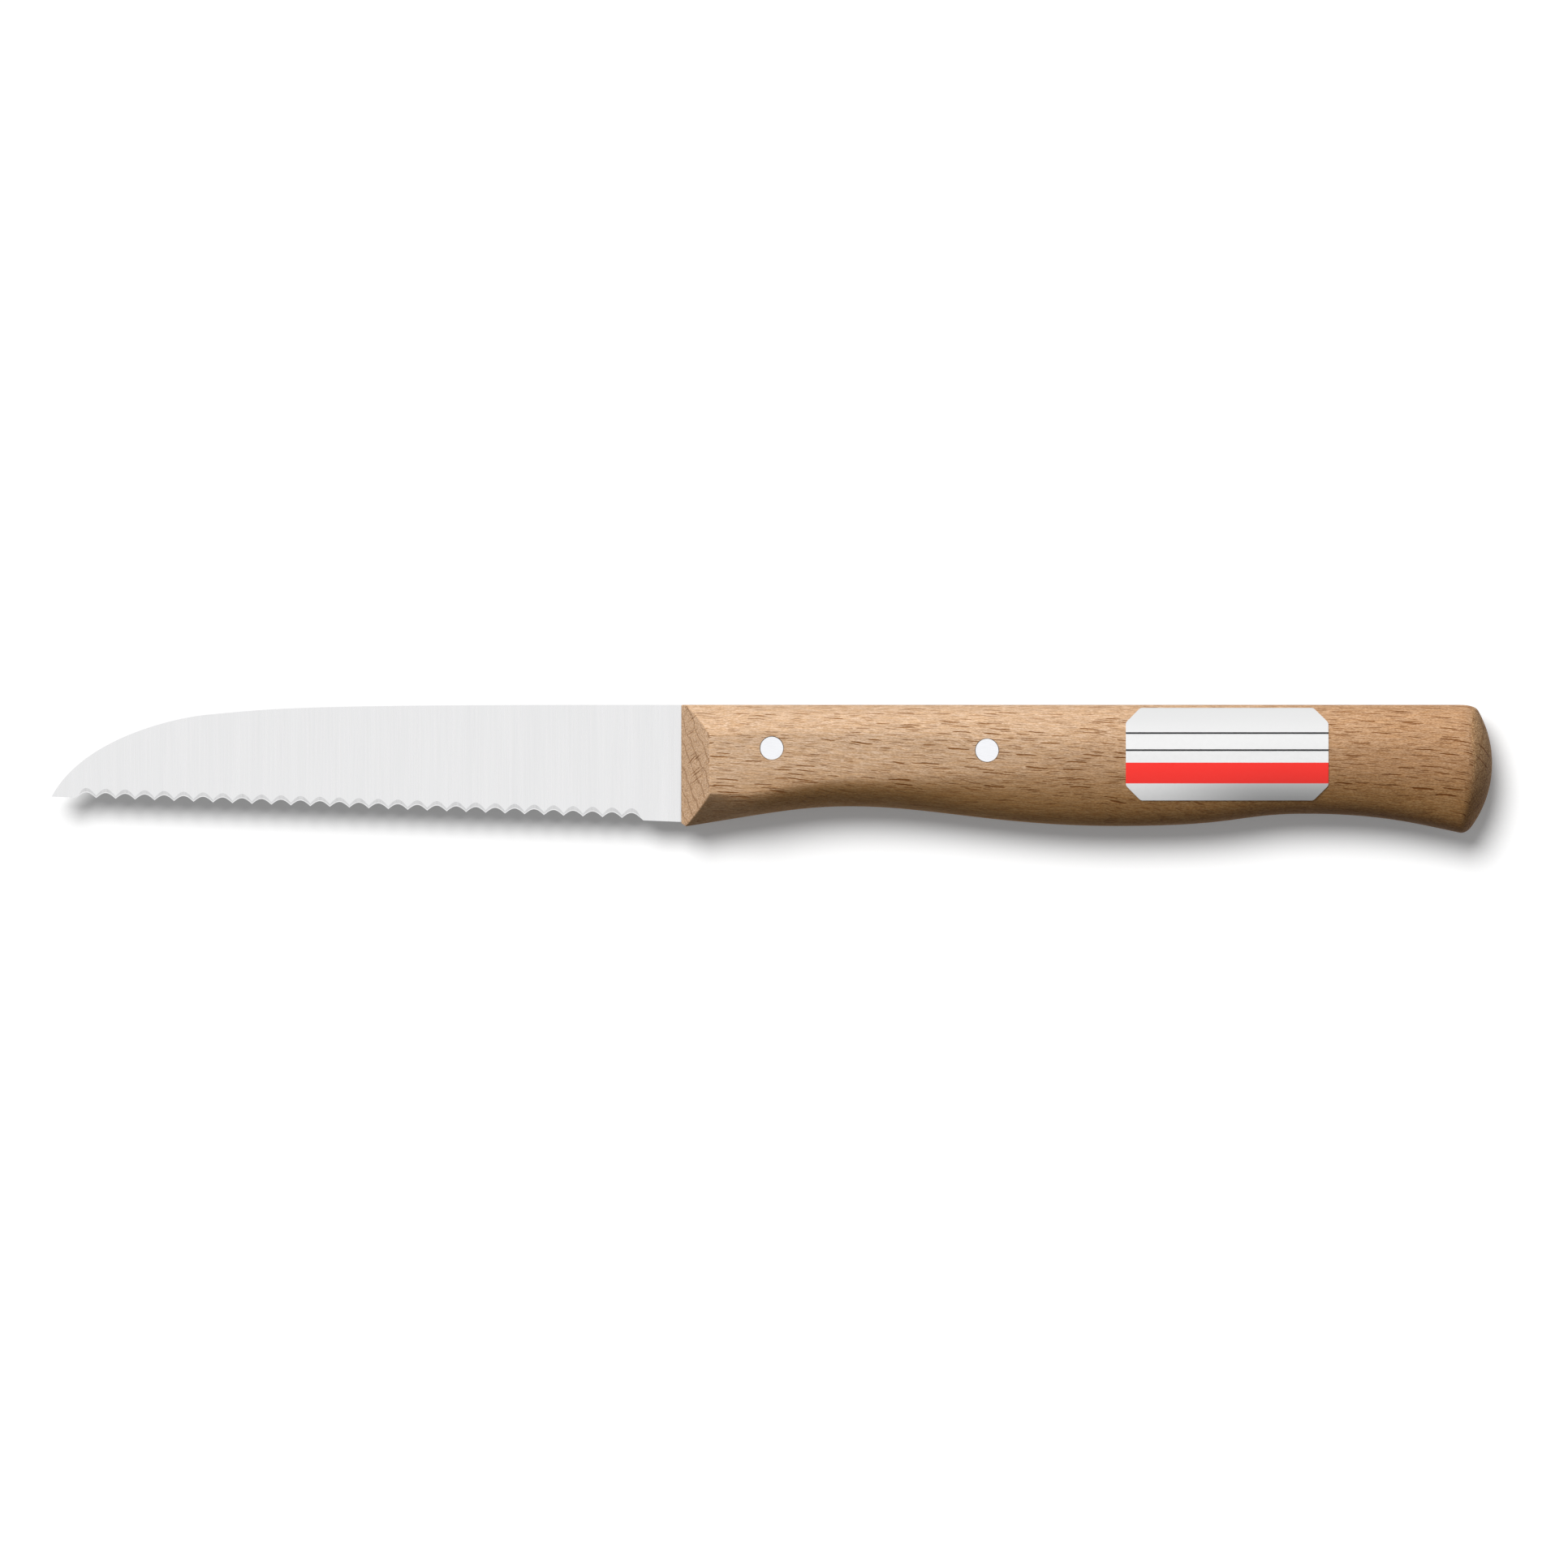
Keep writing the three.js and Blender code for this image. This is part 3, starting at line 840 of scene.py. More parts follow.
@dataclass(frozen=True)
class PaperFinish:
    """White coated paper with a plain red band and thin dark rules, set out from its upper edge, with
    painted shade.
    """

    white: Colour = (0.85, 0.85, 0.85)
    grey: Colour = (0.83, 0.83, 0.83)
    # painted shade: grey laid towards the upper edge, where the paper wraps towards the light
    upper: Colour = (0.63, 0.63, 0.63)
    # painted shade: grey at the lower rear, where the handle's rounding turns away from the light
    lower: Colour = (0.50, 0.50, 0.50)
    red: Colour = (0.93, 0.04, 0.032)
    dark: Colour = (0.03, 0.03, 0.032)
    band: Pair = (7.4, 10.2)
    rules: tuple[Pair, ...] = ((3.3, 3.55), (5.6, 5.85))
    mottle: Waves = Waves((1.6, 1.6, 1.6), 3.0)
    mottle_step: Step = Step(0.35, 0.7)
    painted_shade_upper_step: Step = Step(0.5, 6.5, 1.0, 0.0)
    painted_shade_lower_step: Step = Step(7.0, 11.5)
    painted_shade_lower_rearward: Step = Step(48.0, 66.0, 0.1, 1.0)
    relief: Relief = Relief(0.004, 0.15)
    gloss: Step = Step(0.3, 0.7, 0.36, 0.46)
    specular: float = 0.35

    def material(self, top: float) -> Material:
        """Paper with its print and painted shade, each stripe a stretch of distance from the upper edge.

        Args:
            top: The y of the label's upper edge in the part's frame.

        Returns:
            The finished material.
        """
        g = Graph("label_print")
        along, across, _ = g.axes(g.place)
        drop = g.math("SUBTRACT", top / MM, across)
        mottle = g.noise(g.place, self.mottle)
        # painted shade at the lower rear of the label
        painted_shade_lower_rear = g.product(g.ramp(drop, self.painted_shade_lower_step), g.ramp(along, self.painted_shade_lower_rearward))
        colour = g.mix(g.ramp(mottle, self.mottle_step), self.white, self.grey)
        # painted shade towards the upper edge
        colour = g.mix(g.ramp(drop, self.painted_shade_upper_step), colour, self.upper)
        colour = g.mix(painted_shade_lower_rear, colour, self.lower)
        stripes = [(self.band, self.red)] + [(rule, self.dark) for rule in self.rules]
        for (start, stop), ink in stripes:
            after = g.math("GREATER_THAN", drop, start)
            before = g.math("LESS_THAN", drop, stop)
            colour = g.mix(g.product(after, before), colour, ink)
        g.bump(mottle, self.relief)
        return g.finish(
            Base_Color=colour,
            Roughness=g.ramp(mottle, self.gloss),
            Specular_IOR_Level=self.specular,
        )


@dataclass(frozen=True)
class GripLine:
    """The underside of the handle: its depth below the top, by curves through waists and swells."""

    front: Triple = (0.0, 16.5, -0.16)
    finger_waist: Triple = (23.0, 13.7, 0.0)
    palm_swell: Triple = (58.7, 16.35, 0.0)
    rear_waist: Triple = (84.3, 14.7, 0.0)
    butt_depth: float = 17.415
    butt_slope: float = 0.2
    reaches: tuple[Pair, ...] = ((0.54, 0.3), (0.3, 0.45), (0.66, 0.37), (0.5, 0.25))

    def samples(self, butt_x: float, steps: int = 400) -> tuple[Array, Array]:
        """Close points of the line, each stretch a cubic curve between two of its knots.

        Args:
            butt_x: Where the line ends.
            steps: Points in each stretch.

        Returns:
            The places along the handle, and the depths there.
        """
        butt = (butt_x, self.butt_depth, self.butt_slope)
        knots = (self.front, self.finger_waist, self.palm_swell, self.rear_waist, butt)
        stretches = []
        for (x0, d0, s0), (x1, d1, s1), (lead, trail) in zip(knots, knots[1:], self.reaches):
            a = lead * (x1 - x0)
            b = trail * (x1 - x0)
            ends = np.array([(x0, d0), (x0 + a, d0 + s0 * a), (x1 - b, d1 - s1 * b), (x1, d1)])
            stretches.append(cubic(ends, steps))
        points = np.concatenate(stretches)
        return points[:, 0], points[:, 1]


@dataclass
class Handle:
    """The one-piece wooden handle, with its saw cut and rivet holes."""

    length: float = 109.4
    thickness: float = 12.5
    top_flat: float = 2.8
    bottom_flat: float = 2.8
    upper_round: float = 4.1
    flat_drop: Pair = (12.0, 9.7)
    flat_level: float = 6.0
    rear_shares: Pair = (0.42, 0.5)
    roundness: Triple = (1.15, 1.7, 2.0)
    worn_from: Pair = (3.8, 10.0)
    bevel_setback: float = 3.8
    edge_soft: float = 0.22
    nip: Pair = (0.8, 0.55)
    dome_radius: float = 14.5
    dome_half_width: float = 10.4
    dome_drop: float = 7.9
    rim_round: float = 0.85
    slot_width: float = 1.3
    slot_length: float = 52.3
    saw_radius: float = 60.0
    hole_diameter: float = 3.25
    hole_sides: int = 72
    saw_heights: Pair = (-25.0, 8.0)
    saw_steps: int = 40
    cutter_front: float = -8.0
    nip_reach: float = 4.0
    part_counts: tuple[int, ...] = (4, 24, 16, 28, 4)
    length_steps: int = 170
    front_rows: int = 14
    soft_rows: int = 4
    rim_rows: int = 6
    dome_rows: int = 18
    crease_degrees: float = 28.0
    grip: GripLine = field(default_factory=GripLine)

    def __post_init__(self) -> None:
        """Works out the places that several surfaces share."""
        drop = self.grip.butt_depth - self.dome_drop
        self.half = 0.5 * self.thickness
        self.slot_half = 0.5 * self.slot_width
        self.bevel_slope = self.bevel_setback / (self.half - self.slot_half)
        self.columns = sum(self.part_counts)
        self.dome_x = self.length - self.dome_radius
        self.butt_x = self.dome_x + math.sqrt(self.dome_radius**2 - drop**2)
        self.line_x, self.line_depth = self.grip.samples(self.butt_x)

    def depth(self, x: Array) -> Array:
        """Depth of the underside below the top at each x."""
        return np.interp(x, self.line_x, self.line_depth)

    def palm_share(self, x: Array) -> Array:
        """How far the section has gone from that of the finger waist to that of the palm swell."""
        return smoothstep(x, self.grip.finger_waist[0], self.grip.palm_swell[0])

    def upper_rise(self, x: Array) -> Array:
        """Height of the upper rounding: fixed at the front, and a share of the depth at the rear."""
        rear = self.rear_shares[0] * self.depth(x)
        return self.upper_round + (rear - self.upper_round) * self.palm_share(x)

    def lower_rise(self, x: Array) -> Array:
        """Height of the lower rounding, under a flat whose edge is level and then rises to the waist.

        Args:
            x: Places along the handle.

        Returns:
            The heights there.
        """
        first, last = self.flat_drop
        drop = first + (last - first) * smoothstep(x, self.flat_level, self.grip.finger_waist[0])
        depth = self.depth(x)
        drop = drop + ((1.0 - self.rear_shares[1]) * depth - drop) * self.palm_share(x)
        return depth - drop

    def exponent(self, x: Array) -> Array:
        """The superellipse's exponent: nearly a flat chamfer at the blade, an ellipse from the palm on.

        Args:
            x: Places along the handle.

        Returns:
            The exponents there.
        """
        crisp, worn, oval = self.roundness
        near = crisp + (worn - crisp) * smoothstep(x, *self.worn_from)
        return near + (oval - near) * smoothstep(x, self.worn_from[1], self.grip.palm_swell[0])

    def side(self, x: Array) -> Array:
        """One side of the section, from the middle of the top to the middle of the underside.

        The top, the side and the underside are flats, and between them run quarters of a superellipse:
        width and height are powers of the sine and cosine of one turning angle.

        Args:
            x: The place of each point along the handle, with one column for each point of the side.

        Returns:
            The points, as x, y and z in the last axis.
        """
        top, upper, flat, lower, under = np.split(x, np.cumsum(self.part_counts)[:-1], axis=1)
        fractions = [np.arange(count) / count for count in self.part_counts]
        t, b = 0.5 * self.top_flat, 0.5 * self.bottom_flat

        def powers(part: Array, share: Array) -> tuple[Array, Array]:
            """Cosine and sine of the turning angle, to the section's power.

            Args:
                part: Places along the handle.
                share: How far the angle has turned.

            Returns:
                The two powers.
            """
            power = 2.0 / self.exponent(part)
            angle = 0.5 * math.pi * share
            return np.cos(angle) ** power, np.sin(angle) ** power

        up, out = powers(upper, fractions[1])
        low_out, down = powers(lower, fractions[3])
        upper_end = -self.upper_rise(flat)
        lower_end = self.lower_rise(flat) - self.depth(flat)
        reach = self.lower_rise(lower)
        heights = (
            np.zeros_like(top),
            self.upper_rise(upper) * (up - 1.0),
            upper_end + (lower_end - upper_end) * fractions[2],
            reach - self.depth(lower) - reach * down,
            -self.depth(under),
        )
        to_middle = np.linspace(1.0, 0.0, self.part_counts[4])
        widths = (
            np.zeros_like(top) + t * fractions[0],
            t + (self.half - t) * out,
            np.full_like(flat, self.half),
            b + (self.half - b) * low_out,
            np.zeros_like(under) + b * to_middle,
        )
        return np.stack([x, np.concatenate(heights, axis=1), np.concatenate(widths, axis=1)], axis=-1)

    def dome(self, share: Array) -> Array:
        """Rows of the butt: its section drawn in towards the apex, and set on an ellipsoid.

        Args:
            share: How far out each row lies, 1 at the rim and 0 at the apex.

        Returns:
            The rows of points.
        """
        rim = self.side(np.full((1, self.columns), self.butt_x))
        y = (rim[..., 1] + self.dome_drop) * share[:, None]
        z = rim[..., 2] * share[:, None]
        across = z * self.dome_radius / self.dome_half_width
        x = self.dome_x + np.sqrt(self.dome_radius**2 - y**2 - across**2)
        return np.stack([x, y - self.dome_drop, z], axis=-1)

    def front(self, edge: Array) -> Array:
        """Rows of the sloping front, straight from a ridge on the middle plane to the edge of the side.

        Args:
            edge: The points where the slope meets the side.

        Returns:
            Rows of points from the ridge out, short of the softened edge.
        """
        steps = np.linalg.norm(np.diff(edge[0], axis=0), axis=1)
        travelled = np.concatenate([[0.0], np.cumsum(steps)]) / steps.sum()
        ridge = edge.copy()
        ridge[..., 0] = -self.bevel_slope * self.slot_half
        ridge[..., 1] = edge[0, -1, 1] * travelled
        ridge[..., 2] = 0.0
        reach = np.maximum(np.linalg.norm(edge - ridge, axis=-1, keepdims=True), WELD)
        stop = np.clip(1.0 - self.edge_soft / reach, 0.0, 1.0)
        share = np.linspace(0.0, 1.0, self.front_rows)[:, None, None] * stop
        return ridge + (edge - ridge) * share

    def skin(self) -> Array:
        """Every row of one side: the sloping front, its soft edge, the grip, the rim and the butt.

        Returns:
            The rows of points.
        """
        edge = self.side(np.zeros((1, self.columns)))
        edge = self.side(self.bevel_slope * (edge[..., 2] - self.slot_half))
        front = self.front(edge)
        start_x = edge[..., 0] + self.edge_soft
        rim_x = self.butt_x - self.rim_round
        along = np.linspace(0.0, 1.0, self.length_steps)[:, None]
        grip = self.side(start_x + (rim_x - start_x) * along)
        soft = turned_corner(front[-1:], edge, grip[:1], self.soft_rows)
        inner = 1.0 - 2.0 * self.rim_round / self.grip.butt_depth
        dome = self.dome(np.linspace(inner, 0.0, self.dome_rows))
        rim = turned_corner(grip[-1:], self.dome(np.ones(1)), dome[:1], self.rim_rows)
        return np.concatenate([front, soft, grip, rim, dome])

    def saw_end(self, y: Array, length: float) -> Array:
        """How far a saw cut reaches at each height: a circle of the saw's radius."""
        middle = -0.5 * self.grip.butt_depth
        return length - self.saw_radius + np.sqrt(self.saw_radius**2 - (y - middle) ** 2)

    def cutters(self, rivets: "list[Rivet]") -> list[Object]:
        """The cuts into the wood: the tang's slot, a nip off the lower front corner, and the holes.

        The slot ends on the saw's circle, the nip is a triangle and each hole is a ring of points.

        Args:
            rivets: The rivets that the handle is drilled for.

        Returns:
            The cutters.
        """
        height = np.linspace(*self.saw_heights, self.saw_steps)
        saw = np.column_stack([self.saw_end(height, self.slot_length), height])
        start, stop = ((self.cutter_front, level) for level in self.saw_heights)
        outline = np.concatenate([[start], saw, [stop]])
        cutters = [prism("saw_cut", outline, -self.slot_half, self.slot_half)]
        ahead = np.array([-self.nip_reach, self.nip_reach])
        slant = self.nip[1] - self.grip.front[1] - ahead * self.nip[1] / self.nip[0]
        wedge = np.array([(ahead[0], slant[0]), (ahead[1], slant[1]), (ahead[0], slant[1])])
        cutters.append(prism("nip", wedge, -self.thickness, self.thickness))
        turn = np.linspace(0.0, 2.0 * math.pi, self.hole_sides, endpoint=False)
        circle = 0.5 * self.hole_diameter * np.column_stack([np.cos(turn), np.sin(turn)])
        for rivet in rivets:
            hole = circle + np.array([rivet.x, -rivet.drop])
            cutters.append(prism(f"{rivet.node}_hole", hole, -self.thickness, self.thickness))
        return cutters

    def build(self, rivets: "list[Rivet]") -> Object:
        """Makes the closed wooden body, then saws the slot and drills the rivet holes.

        Args:
            rivets: The rivets that it is drilled for.

        Returns:
            The handle.
        """
        near = self.skin()
        far = near[:, -2:0:-1] * np.array([1.0, 1.0, -1.0])
        rings = np.concatenate([near, far], axis=1)
        rows, columns, _ = rings.shape
        quads = grid_quads(rows, columns, closed=True)
        body = new_object("beech_handle", rings.reshape(-1, 3), quads.tolist())
        cut_away(body, self.cutters(rivets))
        shade(body, self.crease_degrees)
        return body

    def dress(self, body: Object) -> None:
        """Gives the handle its wood and enlists it.

        Args:
            body: The handle.
        """
        body.data.materials.clear()
        body.data.materials.append(BeechFinish().material())
        enlist(body, "handle")


@dataclass
class Rivet:
    """A plain pin through handle and tang, ground flush with both sides."""

    node: str
    x: float
    drop: float
    diameter: float = 3.2
    length: float = 12.5
    edge_break: float = 0.12
    crown: float = 0.02
    sides: int = 72
    face_rings: int = 9
    edge_rings: int = 6
    crease_degrees: float = 40.0

    def build(self) -> Object:
        """Turns the pin's profile about its axis.

        Each face rises to a faint crown by the square of its radius, and a quarter circle breaks its
        edge.

        Returns:
            The rivet.
        """
        radius = 0.5 * self.diameter
        half = 0.5 * self.length
        flat = np.linspace(0.0, radius - self.edge_break, self.face_rings)
        angle = np.linspace(0.0, 0.5 * math.pi, self.edge_rings)
        face = half - self.crown * (flat / flat[-1]) ** 2
        rounded = radius - self.edge_break + self.edge_break * np.sin(angle)
        edge = face[-1] - self.edge_break + self.edge_break * np.cos(angle)
        r = np.concatenate([flat, rounded[1:]])
        z = np.concatenate([face, edge[1:]])
        r = np.concatenate([r, r[::-1]])
        z = np.concatenate([z, -z[::-1]])
        turn = np.linspace(0.0, 2.0 * math.pi, self.sides, endpoint=False)
        x = self.x + r[:, None] * np.cos(turn)
        y = -self.drop + r[:, None] * np.sin(turn)
        points = np.stack([x, y, np.broadcast_to(z[:, None], x.shape)], axis=-1)
        quads = grid_quads(len(r), self.sides, closed=True)
        piece = new_object(f"{self.node}_pin", points.reshape(-1, 3), quads.tolist())
        shade(piece, self.crease_degrees)
        return piece

    def dress(self, piece: Object, metal: Material) -> None:
        """Gives the rivet its metal and enlists it."""
        piece.data.materials.append(metal)
        enlist(piece, self.node)


@dataclass
class Blade:
    """The ground blade with its scalloped edge, and the tang that the handle hides."""

    handle: Handle
    length: float = 85.0
    heel_height: float = 15.8
    point_drop: float = 12.4
    spine_straight: float = 10.0
    spine_lead: float = 44.0
    shoulder: Triple = (20.9, 1.33, 0.09)
    shoulder_reach: Pair = (3.3, 8.7)
    nose: Pair = (4.4, 8.3)
    thickness: float = 1.2
    edge_thickness: float = 0.06
    run_out: float = 1.0
    spine_round: float = 0.12
    pitch: float = 2.63
    scallop_depth: float = 0.72
    scallop_round: float = 0.7
    tooth_setbacks: Pair = (0.06, 0.22)
    tip_land: float = 3.33
    heel_land: float = 4.8
    grind_degrees: float = 10.0
    tang_length: float = 52.0
    tang_recess: float = 0.1
    rim_height: float = 0.12
    rim_most: float = 0.9
    crescent_share: float = 0.7
    fade_length: float = 0.9
    tang_step: float = 0.02
    tang_blend: float = 0.4
    shoulder_gap: Pair = (0.5, 1.0)
    tang_round_from: float = 0.7
    tip_closeness: float = 1.7
    steps_per_scallop: int = 20
    curve_steps: int = 600
    tip_steps: int = 40
    heel_steps: int = 24
    shoulder_steps: int = 12
    tang_steps: int = 40
    face_rows: int = 15
    spine_rows: int = 5
    decimals: int = 6
    crease_degrees: float = 6.0

    def __post_init__(self) -> None:
        """Works out the edge line, the wedge and the row of scallops."""
        fall = self.point_drop - self.heel_height
        self.edge_length = math.hypot(self.length, fall)
        self.edge_slope = fall / self.length
        self.edge_half = 0.5 * self.edge_thickness
        self.lean = (0.5 * self.thickness - self.edge_half) / self.heel_height
        self.climb = 1.0 / math.tan(math.radians(self.grind_degrees))
        self.spread = 1.0 + self.lean * self.climb
        self.flank = self.scallop_depth / (math.hypot(1.0, self.scallop_round) - self.scallop_round)
        self.lead, self.trail = (self.reach(setback) for setback in self.tooth_setbacks)
        self.first = self.tip_land + self.lead
        room = self.edge_length - self.heel_land - self.trail - self.first
        self.count = math.floor(room / self.pitch) + 1
        self.last = self.first + (self.count - 1) * self.pitch

    def reach(self, setback: float) -> float:
        """How far from its middle a scallop runs out at the straight line."""
        rise = self.scallop_round + (setback + self.scallop_depth) / self.flank
        return 0.5 * self.pitch * math.sqrt(rise**2 - self.scallop_round**2)

    def edge_line(self, x: Array) -> Array:
        """Height of the straight line from the point to the heel."""
        return -self.point_drop + self.edge_slope * (x + self.length)

    def spine(self, x: Array) -> Array:
        """Height of the spine: straight, then two cubic curves down to the point.

        Args:
            x: Places along the blade.

        Returns:
            The heights there.
        """
        back, drop, slope = self.shoulder
        lead, trail = self.shoulder_reach
        shoulder = np.array([back - self.length, -drop])
        point = np.array([-self.length, -self.point_drop])
        toward = np.array([1.0, slope])
        straight = np.array([-self.spine_straight, 0.0])
        nose = np.array([point, point + self.nose, shoulder - lead * toward, shoulder])
        back_off = straight - [self.spine_lead, 0.0]
        bent = np.array([shoulder, shoulder + trail * toward, back_off, straight])
        curve = np.concatenate([cubic(ends, self.curve_steps) for ends in (nose, bent)])
        return np.interp(x, curve[:, 0], curve[:, 1])

    def scallops(self, x: Array) -> tuple[Array, Array]:
        """Heights above the edge line of the cutting edge and of the top of its ground bevel.

        The edge is a row of hyperbolas, each round in the middle and nearly straight down to its teeth,
        which stand back from the line more and more towards the heel. The wheel's path climbs from the
        lower face to the upper one at the grinding angle, so the top follows from the edge and the lean
        of the faces. Honing has worn it down to a share of that height.

        Args:
            x: Places along the blade.

        Returns:
            The edge, and the top of the bevel.
        """
        along = (x + self.length) * self.edge_length / self.length
        number = np.clip(np.round((along - self.first) / self.pitch), 0, self.count - 1)
        offset = along - self.first - number * self.pitch
        turn = 2.0 * offset / self.pitch
        setback = np.interp(along, (self.first, self.last), self.tooth_setbacks)
        bow = np.hypot(turn, self.scallop_round) - self.scallop_round
        start, stop = self.first - self.lead, self.last + self.trail
        risen = smoothstep(along, start, start + self.fade_length)
        fallen = smoothstep(along, stop - self.fade_length, stop)
        worn = self.crescent_share * risen * (1.0 - fallen)
        inside = (along > start) & (along < stop)
        edge = np.where(inside, np.maximum(setback + self.scallop_depth - self.flank * bow, 0.0), 0.0)
        top = (edge * self.spread + self.edge_thickness * self.climb) / (1.0 - self.lean * self.climb)
        return edge, edge + np.where(inside, (top - edge) * worn, 0.0)

    def stations(self) -> Array:
        """Places of the blade's rings: close at the point and the scallops, and wide along the tang.

        Returns:
            The places, in order.
        """
        scale = self.length / self.edge_length
        tip = self.tip_land * np.linspace(0.0, 1.0, self.tip_steps) ** self.tip_closeness
        step = self.pitch / self.steps_per_scallop
        before = np.arange(-math.floor(self.lead / step), 0) * step + self.first
        row = self.first + step * np.arange((self.count - 1) * self.steps_per_scallop + 1)
        after = self.last + step * np.arange(1, math.floor(self.trail / step) + 1)
        heel = np.linspace(self.last + self.trail, self.edge_length, self.heel_steps)
        blade = np.concatenate([tip, before, row, after, heel]) * scale - self.length
        before_gap, after_gap = (self.run_out + gap for gap in self.shoulder_gap)
        shoulder = np.linspace(self.tang_step, before_gap, self.shoulder_steps)
        tang = np.linspace(after_gap, self.tang_length, self.tang_steps)
        return np.unique(np.round(np.concatenate([blade, shoulder, tang]), self.decimals))

    def rings(self) -> tuple[Array, Array]:
        """Closed rings from the point to the end of the tang, and the finish of each column.

        Each ring goes up the ground bevel and the upper face, over the rounded spine and down the lower
        face. The half thickness grows evenly with the height over the edge line, and is constant in the
        tang.

        Returns:
            The rings, as rows of points, and the finish number of each column of faces.
        """
        x = self.stations()[:, None]
        line = self.edge_line(x)
        edge, bevel = self.scallops(x)
        in_tang = smoothstep(x, 0.0, self.tang_step)
        under = np.maximum(self.tang_recess - self.handle.depth(x), -self.heel_height)
        bottom = np.where(x > 0.0, under, line + edge)
        ground = np.where(x > 0.0, under, line + bevel)
        top = self.spine(x) - self.tang_recess * in_tang
        shoulder = smoothstep(x, self.run_out, self.run_out + self.tang_blend)

        def half(y: Array) -> Array:
            """Half the thickness at each height."""
            wedge = self.edge_half + self.lean * np.maximum(y - line, 0.0)
            return wedge + (0.5 * self.thickness - wedge) * shoulder

        soft = np.minimum(self.spine_round, 0.5 * np.minimum(half(top), np.maximum(top - ground, 0.0)))
        rim = self.rim_height / np.maximum(ground - bottom, self.rim_height)
        rim = np.minimum(rim, self.rim_most)
        shares = np.concatenate([0.0 * rim, rim, 0.5 + 0.5 * rim, 1.0 + 0.0 * rim], axis=1)
        bevel_y = bottom + (ground - bottom) * shares
        bevel_z = -half(bottom) + (half(ground) + half(bottom)) * shares
        face = np.linspace(0.0, 1.0, self.face_rows)[1:]
        face_y = ground + (top - soft - ground) * face
        angle = np.linspace(0.0, 0.5 * math.pi, self.spine_rows)[1:]
        shelf = half(top - soft)
        spine_y = top - soft + soft * np.sin(angle)
        spine_z = shelf - soft + soft * np.cos(angle)
        back = np.linspace(1.0, 0.0, self.face_rows)[:-1]
        back_y = bottom + (top - soft - bottom) * back
        y = np.concatenate([bevel_y, face_y, spine_y, spine_y[:, ::-1], back_y], axis=1)
        z = np.concatenate([bevel_z, half(face_y), spine_z, -spine_z[:, ::-1], -half(back_y)], axis=1)
        z[0] = 0.0
        pull = smoothstep(x, self.tang_round_from * self.tang_length, self.tang_length)
        end = self.handle.saw_end(y, self.tang_length) - self.tang_length
        zones = np.full(y.shape[1], SteelZone.FACE, int)
        bevel_zones = (SteelZone.HONED, SteelZone.GROUND, SteelZone.GROUND)
        zones[: len(bevel_zones)] = bevel_zones
        return np.stack([x + end * pull, y, z], axis=-1), zones

    def build(self) -> Object:
        """Joins the rings into one closed blade.

        Returns:
            The blade.
        """
        rings, zones = self.rings()
        rows, columns, _ = rings.shape
        faces = grid_quads(rows, columns, closed=True).tolist()
        faces.append(list(range((rows - 1) * columns, rows * columns)))
        finishes = np.concatenate([np.tile(zones, rows - 1), [SteelZone.FACE]])
        piece = new_object("ground_blade", rings.reshape(-1, 3), faces, finishes)
        shade(piece, self.crease_degrees)
        return piece

    def dress(self, piece: Object) -> None:
        """Gives the faces, the ground scallops and the honed edge their steel, and enlists the blade.

        Args:
            piece: The blade.
        """
        for zone in SteelZone:
            piece.data.materials.append(STEELS[zone].material())
        enlist(piece, "blade")


